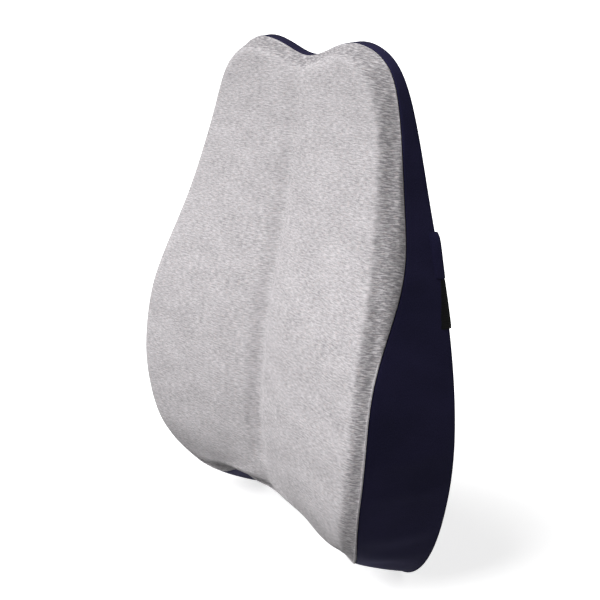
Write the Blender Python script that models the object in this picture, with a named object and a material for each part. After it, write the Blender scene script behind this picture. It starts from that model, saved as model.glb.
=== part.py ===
"""Lumbar support cushion: a moulded foam core in a zipped three-panel cover, with an elastic
chair strap, a strap adjuster and a side-release buckle.

Frame: the origin is the centre of the flat back face. +X is the sitter's right seen from the
front, +Y points out of the back, towards the chair, and +Z is up. Sizes are in metres.
"""

import math

import bmesh
import bpy
import numpy as np
from mathutils import Vector

# Overall sizes
WIDTH = 0.404
HEIGHT = 0.450
DEPTH = 0.096

# Cover and core
CLOTH = 0.0022            # thickness of each cover panel
GAP = 0.0003              # clearance between pieces that touch
BOTTOM_RISE = 0.022       # how far the front edge of the underside is raised above the back edge
WING_START = 0.045        # where the flat part of each wing begins, from the middle
GROOVE_HALF = 0.019       # half width of the narrow groove over the spine
HOLLOW_HALF = 0.062       # half width of the wide hollow that the groove lies in
GROOVE_SHARE = 0.44       # the groove's share of the channel's depth
EDGE_ROLL = 0.032         # the front face is full depth this far in from the side
CORE_CLEARANCE = 0.0012    # room between the core and its cover
OUTLINE_POINTS = 80
ROLL_RINGS = 6
INNER_RINGS = (0.86, 0.7, 0.54, 0.4, 0.28, 0.18, 0.10, 0.04)

# Half outline from the notch at the top, down the side, to the arch at the bottom:
# x / half width, z / height, side band depth / depth, radius of the front edge
OUTLINE = (
    (0.000, 0.969, 0.10, 0.030), (0.153, 0.982, 0.10, 0.029), (0.386, 1.000, 0.11, 0.029),
    (0.604, 0.967, 0.10, 0.032), (0.728, 0.878, 0.15, 0.030), (0.827, 0.733, 0.25, 0.032),
    (0.911, 0.609, 0.385, 0.033), (0.985, 0.456, 0.755, 0.034), (1.000, 0.300, 0.893, 0.040),
    (0.955, 0.178, 0.882, 0.032), (0.752, 0.036, 0.685, 0.030), (0.545, 0.000, 0.585, 0.034),
    (0.198, 0.044, 0.565, 0.034), (0.000, 0.076, 0.565, 0.032))

# Depth of the front face at its edge and beside the channel, and of the channel itself, as shares
# of the depth
PROFILE_Z = (0.0, 0.133, 0.289, 0.467, 0.667, 0.844, 1.0)
PROFILE_EDGE = (0.80, 0.91, 1.00, 0.89, 0.555, 0.348, 0.30)
PROFILE_WING = (0.70, 0.80, 0.86, 0.77, 0.50, 0.33, 0.25)
PROFILE_CHANNEL = (0.07, 0.10, 0.14, 0.145, 0.10, 0.06, 0.04)

# Section of the rolled front edge, from the seam to the face: inset / radius, climb / full climb
ROLL_INSET = (0.0, 0.085, 0.185, 0.28, 0.36, 0.47, 0.63, 0.81, 1.0)
ROLL_CLIMB = (0.0, 0.29, 0.57, 0.79, 0.905, 0.966, 0.99, 0.998, 1.0)

# Strap, its tabs and its path behind the cushion
STRAP_WIDTH = 0.038
STRAP_THICK = 0.0016
STRAP_TOP = 0.271         # top edge above the base
STRAP_STAND = 0.0165      # the strap's middle stands this far behind the back face
STRAP_FOLD = 0.030        # sewn fold behind the socket's bar
STRAP_LEAD = 0.046        # run from the side seam to the straight stretch
STRAP_PROUD = 0.0034      # how far the strap's root stands outside the side seam
TAB_HEIGHT = 0.036
TAB_REACH = 0.0030        # how far the tab stands proud of the side seam

# Side-release buckle
BUCKLE_X = -0.020         # where the socket's mouth is
SOCKET_LENGTH = 0.034
SOCKET_HEIGHT = STRAP_WIDTH + 0.010
SOCKET_THICK = 0.0115
SOCKET_WALL = 0.0022
BAR = 0.0036              # width of each strap bar
SLOT = 0.0060             # width of the strap slot beside a bar
ARM_LENGTH = 0.0295
ARM_WIDTH = 0.0036
ARM_THICK = SOCKET_THICK - 2.0 * SOCKET_WALL - 0.0021
ARM_PITCH = SOCKET_HEIGHT / 2.0 - 0.0102   # height of an arm's hinge above the buckle's centre line
TONGUE_LENGTH = 0.026
TONGUE_WIDTH = 0.0080
PLUG_BASE = 0.0110
FIT = 0.0006              # running clearance of the buckle's moving pieces

# Strap adjuster
ADJUSTER_X = -0.115       # centre of the adjuster
ADJUSTER_LENGTH = 0.028
ADJUSTER_RAIL = 0.0040
ADJUSTER_BAR = 0.0030
ADJUSTER_THICK = 0.0022

# Zip
ZIP_LENGTH = 0.270
ZIP_HEIGHT = 0.062        # centre line above the base
ZIP_SLOT = 0.0250         # height of the slot in the back panel
TAPE_THICK = 0.0007
COIL_WIDTH = 0.0026
COIL_THICK = 0.0024
SLIDER_LENGTH = 0.0115
SLIDER_WIDTH = 0.0088
SLIDER_PLATE = 0.0012
PULL_LENGTH = 0.024
PULL_WIDTH = 0.0070
PULL_THICK = 0.0014
PULL_EYE = 0.0050         # length of the eye that the crown passes through
CROWN_LENGTH = 0.0052
CROWN_WIDTH = 0.0016
CROWN_WALL = 0.0012
CROWN_ROOM = 0.0023       # height of the space under the crown
STOP_LENGTH = 0.0030

# Care label
LABEL_HEIGHT = 0.163      # its middle, above the base
LABEL_LENGTH = 0.046      # along the seam
LABEL_REACH = 0.034       # from the seam forwards over the side band
LABEL_THICK = 0.0006

BASE = -HEIGHT / 2.0
STRAP_Z = BASE + STRAP_TOP - STRAP_WIDTH / 2.0
BUCKLE_MID = STRAP_STAND


# Scene and object helpers

def clear_scene():
    for item in list(bpy.data.objects):
        bpy.data.objects.remove(item, do_unlink=True)


def material(name, colour, roughness, metallic=0.0):
    result = bpy.data.materials.new(name)
    result.use_nodes = True
    shader = result.node_tree.nodes["Principled BSDF"]
    shader.inputs["Base Color"].default_value = (*colour, 1.0)
    shader.inputs["Roughness"].default_value = roughness
    shader.inputs["Metallic"].default_value = metallic
    return result


def finish_object(name, mesh_data, surface, smooth_angle=35.0):
    """Turn a bmesh into a named object with outward faces."""
    bmesh.ops.recalc_face_normals(mesh_data, faces=mesh_data.faces)
    mesh = bpy.data.meshes.new(name)
    mesh_data.to_mesh(mesh)
    mesh_data.free()
    mesh.shade_smooth()
    mesh.set_sharp_from_angle(angle=math.radians(smooth_angle))
    mesh.materials.append(surface)
    item = bpy.data.objects.new(name, mesh)
    bpy.context.collection.objects.link(item)
    return item


def add_box(mesh_data, low, high):
    """Add a box to a bmesh and return its vertices."""
    low = Vector(low)
    high = Vector(high)
    result = bmesh.ops.create_cube(mesh_data, size=1.0)
    for vert in result["verts"]:
        vert.co = Vector(((low[i] + high[i]) / 2.0 + vert.co[i] * (high[i] - low[i]) for i in range(3)))
    return result["verts"]


def box_object(name, low, high, surface, bevel=0.0):
    mesh_data = bmesh.new()
    add_box(mesh_data, low, high)
    if bevel:
        bmesh.ops.bevel(mesh_data, geom=mesh_data.edges[:], offset=bevel, segments=2,
                        profile=0.5, affect="EDGES")
    return finish_object(name, mesh_data, surface)


def boolean(target, cutter, operation):
    """Join or cut two objects for good, and drop the second one."""
    modifier = target.modifiers.new("boolean", "BOOLEAN")
    modifier.operation = operation
    modifier.solver = "EXACT"
    modifier.object = cutter
    bpy.context.view_layer.update()
    graph = bpy.context.evaluated_depsgraph_get()
    mesh = bpy.data.meshes.new_from_object(target.evaluated_get(graph))
    target.modifiers.clear()
    target.data = mesh
    bpy.data.objects.remove(cutter, do_unlink=True)


def cut_boxes(target, boxes):
    for low, high in boxes:
        mesh_data = bmesh.new()
        add_box(mesh_data, low, high)
        boolean(target, finish_object("cutter", mesh_data, CUTTER), "DIFFERENCE")


def join_boxes(target, boxes):
    for low, high in boxes:
        mesh_data = bmesh.new()
        add_box(mesh_data, low, high)
        boolean(target, finish_object("joined", mesh_data, target.data.materials[0]), "UNION")


def join_bar(target, x, y, radius, reach):
    """Join a round bar that runs across the strap, in Z."""
    mesh_data = bmesh.new()
    bmesh.ops.create_cone(mesh_data, cap_ends=True, segments=14, radius1=radius, radius2=radius,
                          depth=2.0 * reach)
    bmesh.ops.translate(mesh_data, verts=mesh_data.verts, vec=(x, y, STRAP_Z))
    boolean(target, finish_object("bar", mesh_data, target.data.materials[0]), "UNION")


# The cushion's shape

def closed_spline(points, count):
    """Sample a closed natural cubic through the points, evenly along its length."""
    points = np.asarray(points, dtype=float)
    total = len(points)
    step = np.linalg.norm(np.roll(points[:, :2], -1, 0) - points[:, :2], axis=1) ** 0.75
    before = np.roll(step, 1)
    system = np.zeros((total, total))
    for i in range(total):
        system[i, i - 1] = before[i]
        system[i, i] = 2.0 * (before[i] + step[i])
        system[i, (i + 1) % total] = step[i]
    slope = (np.roll(points, -1, 0) - points) / step[:, None]
    bend = np.linalg.solve(system, 6.0 * (slope - np.roll(slope, 1, 0)))
    fine = []
    for i in range(total):
        share = np.linspace(0.0, 1.0, 60, endpoint=False)[:, None]
        following = (i + 1) % total
        line = points[i] * (1.0 - share) + points[following] * share
        pull = ((1.0 - share) ** 3 - (1.0 - share)) * bend[i] + (share ** 3 - share) * bend[following]
        fine.append(line + pull * step[i] ** 2 / 6.0)
    fine = np.vstack(fine)
    lengths = np.linalg.norm(np.roll(fine[:, :2], -1, 0) - fine[:, :2], axis=1)
    along = np.concatenate([[0.0], np.cumsum(lengths)])
    fine = np.vstack([fine, fine[:1]])
    wanted = np.linspace(0.0, along[-1], count, endpoint=False)
    return np.column_stack([np.interp(wanted, along, fine[:, i]) for i in range(fine.shape[1])])


def outline_samples(count):
    """Outline x, z above the base, side depth and edge radius, clockwise from the top notch."""
    half = [(x * WIDTH / 2.0, z * HEIGHT, band * DEPTH, radius) for x, z, band, radius in OUTLINE]
    mirrored = [(-x, z, band, radius) for x, z, band, radius in reversed(half[1:-1])]
    return closed_spline(half + mirrored, count)


def smooth_step(value):
    value = np.clip(value, 0.0, 1.0)
    return value * value * (3.0 - 2.0 * value)


def profile(values, z):
    return np.interp(z / HEIGHT, SMOOTH_Z, values)


def smooth_profile(values):
    """A rounded version of a profile, on evenly spaced heights."""
    raw = np.interp(SMOOTH_Z, PROFILE_Z, values)
    kernel = np.hanning(21)
    padded = np.pad(raw, 10, mode="edge")
    return np.convolve(padded, kernel / kernel.sum(), mode="valid") * DEPTH


SMOOTH_Z = np.linspace(0.0, 1.0, 101)
EDGE = smooth_profile(PROFILE_EDGE)
WING = smooth_profile(PROFILE_WING)
CHANNEL = smooth_profile(PROFILE_CHANNEL)
RIM = outline_samples(OUTLINE_POINTS)


def half_width(z):
    """Half width of the back outline at a height above the base."""
    right = RIM[:OUTLINE_POINTS // 2]
    below = right[right[:, 0] > WIDTH * 0.27]
    order = np.argsort(below[:, 1])
    return float(np.interp(z, below[order, 1], below[order, 0]))


def front_depth(x, z):
    """Depth of the front face in front of the back face."""
    side = max(half_width(z) - EDGE_ROLL, WING_START + 0.01)
    wing = profile(WING, z)
    edge = profile(EDGE, z)
    outward = np.clip((abs(x) - WING_START) / (side - WING_START), 0.0, 1.2)
    groove = 1.0 - smooth_step(abs(x) / GROOVE_HALF)
    hollow = 1.0 - smooth_step(abs(x) / HOLLOW_HALF)
    sunk = profile(CHANNEL, z) * (GROOVE_SHARE * groove + (1.0 - GROOVE_SHARE) * hollow)
    return float(wing - sunk + (edge - wing) * outward)


def cushion_rings():
    """Rows of points: back edge, side band, seam, rolled front edge, then rings to the spine."""
    count = OUTLINE_POINTS
    ahead = np.roll(RIM[:, :2], -1, 0) - np.roll(RIM[:, :2], 1, 0)
    ahead /= np.linalg.norm(ahead, axis=1)[:, None]
    inward = np.column_stack([ahead[:, 1], -ahead[:, 0]])
    below = smooth_step(inward[:, 1]) * (RIM[:, 1] < HEIGHT / 2.0)
    rows = [[(x, 0.0, z) for x, z in RIM[:, :2]]]
    section = np.linspace(0.0, 1.0, len(ROLL_INSET))
    for ring in range(ROLL_RINGS + 1):
        inset = np.interp(ring / ROLL_RINGS, section, ROLL_INSET)
        climb = np.interp(ring / ROLL_RINGS, section, ROLL_CLIMB)
        row = []
        for i in range(count):
            x, z, band, radius = RIM[i]
            x += inward[i, 0] * radius * inset
            z += inward[i, 1] * radius * inset + BOTTOM_RISE * below[i]
            depth = band + (front_depth(x, z) - band) * climb
            row.append((x, -depth, z))
        rows.append(row)
    rows.insert(1, [tuple((a + b) / 2.0 for a, b in zip(*pair)) for pair in zip(rows[0], rows[1])])
    edge_row = rows[-1]
    half = count // 2
    top = HEIGHT * 0.80
    low = HEIGHT * 0.24
    for share in INNER_RINGS + (0.0,):
        row = []
        for i in range(count):
            step = min(i, count - i) / half
            spine = top + (low - top) * (0.5 - 0.5 * math.cos(math.pi * step))
            x = edge_row[i][0] * share
            z = spine + (edge_row[i][2] - spine) * share
            row.append((x, -front_depth(x, z), z))
        rows.append(row)
    return rows


def band_mesh(rows, closed_spine):
    """Bridge rows of points into a strip of quads; the last row may close on the spine."""
    mesh_data = bmesh.new()
    count = OUTLINE_POINTS
    grid = [[mesh_data.verts.new((x, y, z + BASE)) for x, y, z in row] for row in rows]
    for lower, upper in zip(grid, grid[1:]):
        for i in range(count):
            following = (i + 1) % count
            mesh_data.faces.new((lower[i], lower[following], upper[following], upper[i]))
    if closed_spine:
        bmesh.ops.remove_doubles(mesh_data, verts=grid[-1], dist=0.00001)
        bmesh.ops.dissolve_degenerate(mesh_data, dist=0.00001, edges=mesh_data.edges)
    return mesh_data


def thicken(mesh_data, thickness):
    """Give an open sheet its thickness, inwards from its outer face; its edges stay in their planes."""
    bmesh.ops.recalc_face_normals(mesh_data, faces=mesh_data.faces)
    middle = Vector((0.0, -DEPTH / 3.0, 0.0))
    facing = sum((face.calc_center_median() - middle).dot(face.normal) for face in mesh_data.faces)
    if facing < 0.0:
        bmesh.ops.reverse_faces(mesh_data, faces=mesh_data.faces)
    mesh_data.normal_update()
    outer = list(mesh_data.verts)
    inner = {}
    for vert in outer:
        place = vert.co - vert.normal * thickness
        if vert.is_boundary:
            place = vert.co - Vector((vert.normal.x, 0.0, vert.normal.z)).normalized() * thickness
        inner[vert] = mesh_data.verts.new(place)
    faces = list(mesh_data.faces)
    edges = [edge for edge in mesh_data.edges if edge.is_boundary]
    for face in faces:
        mesh_data.faces.new([inner[vert] for vert in reversed(face.verts)])
    for edge in edges:
        first, second = edge.verts
        mesh_data.faces.new((first, second, inner[second], inner[first]))
    return mesh_data


def make_front_panel(rows):
    """The light panel: from the front seam over the rolled edge to the spine channel."""
    seam = [(x, y - GAP * 1.5, z) for x, y, z in rows[2]]
    mesh_data = thicken(band_mesh([seam] + rows[3:], True), CLOTH)
    return finish_object("cover_front_panel", mesh_data, JERSEY, 60.0)


def make_side_gusset(rows):
    """The dark band that runs round the whole edge, from the back panel to the front seam."""
    back = [(x, -(CLOTH + GAP), z) for x, y, z in rows[0]]
    mesh_data = thicken(band_mesh([back] + rows[1:3], False), CLOTH)
    return finish_object("cover_side_gusset", mesh_data, NAVY, 60.0)


def make_back_panel(rows):
    """The flat back panel, with the slot that the zip closes."""
    mesh_data = bmesh.new()
    verts = [mesh_data.verts.new((x, 0.0, z + BASE)) for x, y, z in rows[0]]
    face = mesh_data.faces.new(verts)
    extruded = bmesh.ops.extrude_face_region(mesh_data, geom=[face])
    moved = [part for part in extruded["geom"] if isinstance(part, bmesh.types.BMVert)]
    bmesh.ops.translate(mesh_data, verts=moved, vec=(0.0, -CLOTH, 0.0))
    panel = finish_object("cover_back_panel", mesh_data, NAVY)
    half = ZIP_LENGTH / 2.0 + STOP_LENGTH + GAP * 2.0
    low = BASE + ZIP_HEIGHT - ZIP_SLOT / 2.0
    cut_boxes(panel, [((-half, -0.01, low), (half, 0.01, low + ZIP_SLOT))])
    return panel


def make_core(rows):
    """The moulded foam block, one gap inside the cover."""
    mesh_data = band_mesh(rows, True)
    rim = [edge for edge in mesh_data.edges if edge.is_boundary]
    bmesh.ops.holes_fill(mesh_data, edges=rim, sides=0)
    bmesh.ops.recalc_face_normals(mesh_data, faces=mesh_data.faces)
    mesh_data.normal_update()
    inset = CLOTH + CORE_CLEARANCE
    places = {}
    for vert in mesh_data.verts:
        place = vert.co - vert.normal * inset * min(vert.calc_shell_factor(), 1.5)
        if abs(vert.co.y) < GAP:
            place = vert.co - Vector((vert.normal.x, 0.0, vert.normal.z)).normalized() * inset
            place.y = -inset
        places[vert] = place
    for vert, place in places.items():
        vert.co = place
    return finish_object("foam_core", mesh_data, FOAM, 60.0)


# Straps

def ribbon(name, path, surface, seam_end=None):
    """A strap: a path of (x, y) points given the strap's thickness and height.

    seam_end is +1 or -1 where the path's first point is sewn into that side seam; the sewn end
    then follows the slope of the seam.
    """
    count = len(path)
    points = [Vector(point) for point in path]
    left = []
    right = []
    for i in range(count):
        before = points[max(i - 1, 0)]
        after = points[min(i + 1, count - 1)]
        first = (points[i] - before).normalized() if i else (after - points[i]).normalized()
        second = (after - points[i]).normalized() if i < count - 1 else first
        side = Vector((-first.y - second.y, first.x + second.x)).normalized()
        across = side / max(side.dot(Vector((-first.y, first.x))), 0.5)
        left.append(points[i] + across * STRAP_THICK / 2.0)
        right.append(points[i] - across * STRAP_THICK / 2.0)
    mesh_data = bmesh.new()
    rows = []
    middle_width = half_width(STRAP_Z - BASE)
    for share in (-0.5, 0.0, 0.5):
        z = STRAP_Z + share * STRAP_WIDTH
        slide = half_width(z - BASE) - middle_width
        row = []
        for point in left + right[::-1]:
            x = point.x
            if seam_end:
                near = 1.0 - (middle_width - seam_end * x) / STRAP_LEAD
                x += seam_end * slide * float(np.clip(near, 0.0, 1.0))
            row.append(mesh_data.verts.new((x, point.y, z)))
        rows.append(row)
    total = len(rows[0])
    for lower, upper in zip(rows, rows[1:]):
        for i in range(total):
            following = (i + 1) % total
            mesh_data.faces.new((lower[i], lower[following], upper[following], upper[i]))
    for row in (rows[0], rows[-1]):
        for i in range(count - 1):
            mesh_data.faces.new((row[i], row[i + 1], row[total - 2 - i], row[total - 1 - i]))
    return finish_object(name, mesh_data, surface)


def strap_lead(side):
    """Path from the side seam round the back edge to the straight stretch, on one side."""
    edge = half_width(STRAP_Z - BASE)
    outside = edge + STRAP_PROUD - STRAP_THICK / 2.0
    path = [
        (outside - 0.0010, -0.0060),
        (outside - 0.0002, -0.0030),
        (outside, 0.0),
        (outside - 0.0006, 0.0024),
        (outside - 0.0052, 0.0056),
        (edge - STRAP_LEAD * 0.45, STRAP_STAND * 0.70),
        (edge - STRAP_LEAD * 0.75, STRAP_STAND * 0.93),
        (edge - STRAP_LEAD, STRAP_STAND)]
    return [(side * x, y) for x, y in path]


def wrap(centre_x, radius, side, steps=8):
    """Half turn round a bar, from the bar's inner face to its outer face."""
    points = []
    for i in range(steps + 1):
        turn = -math.pi / 2.0 + math.pi * i / steps
        points.append((centre_x - side * radius * math.cos(turn), BAR_Y + radius * math.sin(turn)))
    return points


BAR_RADIUS = BAR / 2.0
WRAP_RADIUS = BAR_RADIUS + GAP * 1.5 + STRAP_THICK / 2.0
BAR_Y = STRAP_STAND + WRAP_RADIUS
SOCKET_BAR_X = BUCKLE_X + SOCKET_LENGTH + SLOT + BAR_RADIUS
PLUG_BAR_X = BUCKLE_X - PLUG_BASE - SLOT - BAR_RADIUS - FIT
LOOP_Y = STRAP_STAND + STRAP_THICK + GAP * 2.0 + WRAP_RADIUS


def make_strap_right():
    """Sewn into the right side seam, folded round the socket's bar and sewn back to itself."""
    path = strap_lead(1)
    path += wrap(SOCKET_BAR_X, WRAP_RADIUS, 1)
    fold_y = STRAP_STAND + STRAP_THICK + GAP * 2.0
    path += [(SOCKET_BAR_X + 0.0022, BAR_Y + WRAP_RADIUS), (SOCKET_BAR_X + 0.012, fold_y),
             (SOCKET_BAR_X + 0.012 + STRAP_FOLD, fold_y)]
    return ribbon("strap_right", path, ELASTIC, 1)


def make_strap_left():
    """Sewn into the left side seam, through the adjuster, round the plug's bar and back."""
    path = strap_lead(-1)
    path += wrap(PLUG_BAR_X, WRAP_RADIUS, -1)
    fold_y = STRAP_STAND + STRAP_THICK + GAP * 2.0
    path += [(PLUG_BAR_X - 0.0022, BAR_Y + WRAP_RADIUS), (PLUG_BAR_X - 0.012, fold_y)]
    path += [(ADJUSTER_X + WRAP_RADIUS * 2.0, fold_y)]
    for i in range(9):
        turn = -math.pi / 2.0 - math.pi * i / 8.0
        path.append((ADJUSTER_X + WRAP_RADIUS * math.cos(turn), LOOP_Y + WRAP_RADIUS * math.sin(turn)))
    path.append((ADJUSTER_X + ADJUSTER_LENGTH / 2.0 + 0.010, LOOP_Y + WRAP_RADIUS))
    return ribbon("strap_left", path, ELASTIC, -1)


def wrap_edge(name, heights, section, side, surface):
    """A strip that follows the side's edge: one cross section (x outside the edge, y) per height."""
    mesh_data = bmesh.new()
    rows = []
    for z in heights:
        edge = half_width(z)
        rows.append([mesh_data.verts.new((side * (edge + x), y, z + BASE)) for x, y in section])
    total = len(section)
    for lower, upper in zip(rows, rows[1:]):
        for i in range(total):
            following = (i + 1) % total
            mesh_data.faces.new((lower[i], lower[following], upper[following], upper[i]))
    mesh_data.faces.new(rows[0])
    mesh_data.faces.new(rows[-1])
    return finish_object(name, mesh_data, surface)


def make_tab(side):
    """A folded tab of cover cloth, sewn into the side seam above the strap."""
    low = STRAP_TOP + GAP
    section = [
        (GAP, -0.0056), (TAB_REACH, -0.0022), (TAB_REACH, 0.0004), (TAB_REACH * 0.65, 0.0016),
        (GAP, 0.0016)]
    name = "strap_tab_right" if side > 0 else "strap_tab_left"
    return wrap_edge(name, np.linspace(low, low + TAB_HEIGHT, 5), section, side, NAVY)


# Buckle and adjuster

def make_socket():
    """The socket: a flat box open at its mouth, with arm windows and a strap bar."""
    half_z = SOCKET_HEIGHT / 2.0
    half_y = SOCKET_THICK / 2.0
    end = BUCKLE_X + SOCKET_LENGTH
    socket = box_object("buckle_socket", (BUCKLE_X, BUCKLE_MID - half_y, STRAP_Z - half_z),
                        (end, BUCKLE_MID + half_y, STRAP_Z + half_z), PLASTIC, 0.0016)
    inner_y = half_y - SOCKET_WALL
    inner_z = half_z - SOCKET_WALL
    window = BUCKLE_X + 0.0095
    cut_boxes(socket, [
        ((BUCKLE_X - 0.01, BUCKLE_MID - inner_y, STRAP_Z - inner_z),
         (end - 0.004, BUCKLE_MID + inner_y, STRAP_Z + inner_z)),
        ((window, BUCKLE_MID - inner_y + 0.0004, STRAP_Z - half_z - 0.01),
         (end - 0.0075, BUCKLE_MID + inner_y - 0.0004, STRAP_Z + half_z + 0.01))])
    far = SOCKET_BAR_X + BAR_RADIUS
    rail = half_z - STRAP_WIDTH / 2.0 - 0.0012
    sides = []
    for sign in (-1.0, 1.0):
        edges = sorted((STRAP_Z + sign * (half_z - 0.0007), STRAP_Z + sign * (half_z - rail)))
        sides.append(((end - 0.003, BAR_Y - BAR_RADIUS * 0.8, edges[0]),
                      (far - 0.0004, BAR_Y + BAR_RADIUS * 0.8, edges[1])))
    join_boxes(socket, sides)
    join_bar(socket, SOCKET_BAR_X, BAR_Y, BAR_RADIUS, half_z - 0.0015)
    return socket


def make_plug():
    """The plug: a base with a strap bar and a guide tongue; its two arms are their own pieces."""
    half_z = SOCKET_HEIGHT / 2.0
    half_y = SOCKET_THICK / 2.0 - 0.001
    right = BUCKLE_X - FIT
    left = right - PLUG_BASE
    plug = box_object("buckle_plug", (left, BUCKLE_MID - half_y, STRAP_Z - half_z),
                      (right, BUCKLE_MID + half_y, STRAP_Z + half_z), PLASTIC, 0.0014)
    notches = []
    for sign in (-1.0, 1.0):
        edges = sorted((STRAP_Z + sign * (ARM_PITCH - ARM_WIDTH / 2.0 - FIT * 2.0),
                        STRAP_Z + sign * (ARM_PITCH + ARM_WIDTH / 2.0 + FIT * 2.0)))
        notches.append(((right - 0.005, BUCKLE_MID - ARM_THICK / 2.0 - FIT, edges[0]),
                        (right + 0.01, BUCKLE_MID + ARM_THICK / 2.0 + FIT, edges[1])))
    cut_boxes(plug, notches)
    far = PLUG_BAR_X - BAR_RADIUS
    rail = half_z - STRAP_WIDTH / 2.0 - 0.0012
    parts = [((right - 0.004, BUCKLE_MID - 0.0016, STRAP_Z - TONGUE_WIDTH / 2.0),
              (right + TONGUE_LENGTH, BUCKLE_MID + 0.0016, STRAP_Z + TONGUE_WIDTH / 2.0))]
    for sign in (-1.0, 1.0):
        edges = sorted((STRAP_Z + sign * (half_z - 0.0007), STRAP_Z + sign * (half_z - rail)))
        parts.append(((far + 0.0004, BAR_Y - BAR_RADIUS * 0.8, edges[0]),
                      (left + 0.003, BAR_Y + BAR_RADIUS * 0.8, edges[1])))
    join_boxes(plug, parts)
    join_bar(plug, PLUG_BAR_X, BAR_Y, BAR_RADIUS, half_z - 0.0015)
    return plug


def make_arm(sign):
    """A latch arm: a flexing leg with the thumb pad that fills the socket's side window."""
    root = BUCKLE_X - FIT - 0.0046
    tip = root + ARM_LENGTH
    inner = STRAP_Z + sign * (ARM_PITCH - ARM_WIDTH / 2.0)
    outer = STRAP_Z + sign * (ARM_PITCH + ARM_WIDTH / 2.0)
    pad = STRAP_Z + sign * (SOCKET_HEIGHT / 2.0 - 0.0006)
    window = BUCKLE_X + 0.0095
    low = BUCKLE_MID - ARM_THICK / 2.0
    outline = [(root, inner), (tip, inner), (tip, outer + sign * 0.0006), (tip - 0.0012, pad),
               (window + 0.0026, pad), (window + FIT, outer), (root, outer)]
    mesh_data = bmesh.new()
    face = mesh_data.faces.new([mesh_data.verts.new((x, low, z)) for x, z in outline])
    extruded = bmesh.ops.extrude_face_region(mesh_data, geom=[face])
    moved = [part for part in extruded["geom"] if isinstance(part, bmesh.types.BMVert)]
    bmesh.ops.translate(mesh_data, verts=moved, vec=(0.0, ARM_THICK, 0.0))
    name = "buckle_arm_upper" if sign > 0 else "buckle_arm_lower"
    return finish_object(name, mesh_data, PLASTIC)


def make_adjuster():
    """The strap adjuster: two end rails, two side bars inside the strap, one middle bar outside."""
    half_x = ADJUSTER_LENGTH / 2.0
    half_z = STRAP_WIDTH / 2.0 + 0.001
    inner = STRAP_STAND - STRAP_THICK / 2.0 - GAP * 1.5
    outer = LOOP_Y + BAR_RADIUS
    rail_low = inner - ADJUSTER_THICK
    rails = []
    for sign in (-1.0, 1.0):
        edges = sorted((STRAP_Z + sign * half_z, STRAP_Z + sign * (half_z + ADJUSTER_RAIL)))
        rails.append(((ADJUSTER_X - half_x, rail_low, edges[0]), (ADJUSTER_X + half_x, outer, edges[1])))
    bars = []
    reach = half_z + ADJUSTER_RAIL / 2.0
    for start in (ADJUSTER_X - half_x, ADJUSTER_X + half_x - ADJUSTER_BAR):
        bars.append(((start, rail_low, STRAP_Z - reach), (start + ADJUSTER_BAR, inner, STRAP_Z + reach)))
    adjuster = box_object("strap_adjuster", rails[0][0], rails[0][1], PLASTIC, 0.0008)
    join_boxes(adjuster, [bars[0]])
    upper = box_object("upper_rail", rails[1][0], rails[1][1], PLASTIC, 0.0008)
    boolean(adjuster, upper, "UNION")
    join_boxes(adjuster, bars[1:])
    join_bar(adjuster, ADJUSTER_X, LOOP_Y, BAR_RADIUS, reach)
    return adjuster


# Zip

ZIP_Z = BASE + ZIP_HEIGHT
SLIDER_X = ZIP_LENGTH / 2.0 - SLIDER_LENGTH / 2.0 - 0.0006
COIL_BACK = TAPE_THICK / 2.0 - CLOTH / 2.0 + GAP + COIL_THICK


def make_zip():
    """Two tapes in the slot, the two coils on their meeting edges, a stop at each end."""
    half = ZIP_LENGTH / 2.0
    middle = -CLOTH / 2.0
    for name, sign in (("upper", 1.0), ("lower", -1.0)):
        edges = sorted((ZIP_Z + sign * GAP, ZIP_Z + sign * (ZIP_SLOT / 2.0 - GAP)))
        box_object(f"zip_tape_{name}",
                   (-half - STOP_LENGTH, middle - TAPE_THICK / 2.0, edges[0]),
                   (half + STOP_LENGTH, middle + TAPE_THICK / 2.0, edges[1]), TAPE)
        edges = sorted((ZIP_Z + sign * GAP / 2.0, ZIP_Z + sign * COIL_WIDTH))
        box_object(f"zip_coil_{name}", (-half + GAP, COIL_BACK - COIL_THICK, edges[0]),
                   (half - GAP, COIL_BACK, edges[1]), COIL, 0.0005)
    for name, start in (("closed", half), ("open", -half - STOP_LENGTH)):
        box_object(f"zip_stop_{name}", (start, COIL_BACK - COIL_THICK, ZIP_Z - COIL_WIDTH - 0.0005),
                   (start + STOP_LENGTH, COIL_BACK + 0.0004, ZIP_Z + COIL_WIDTH + 0.0005), METAL, 0.0004)


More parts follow.
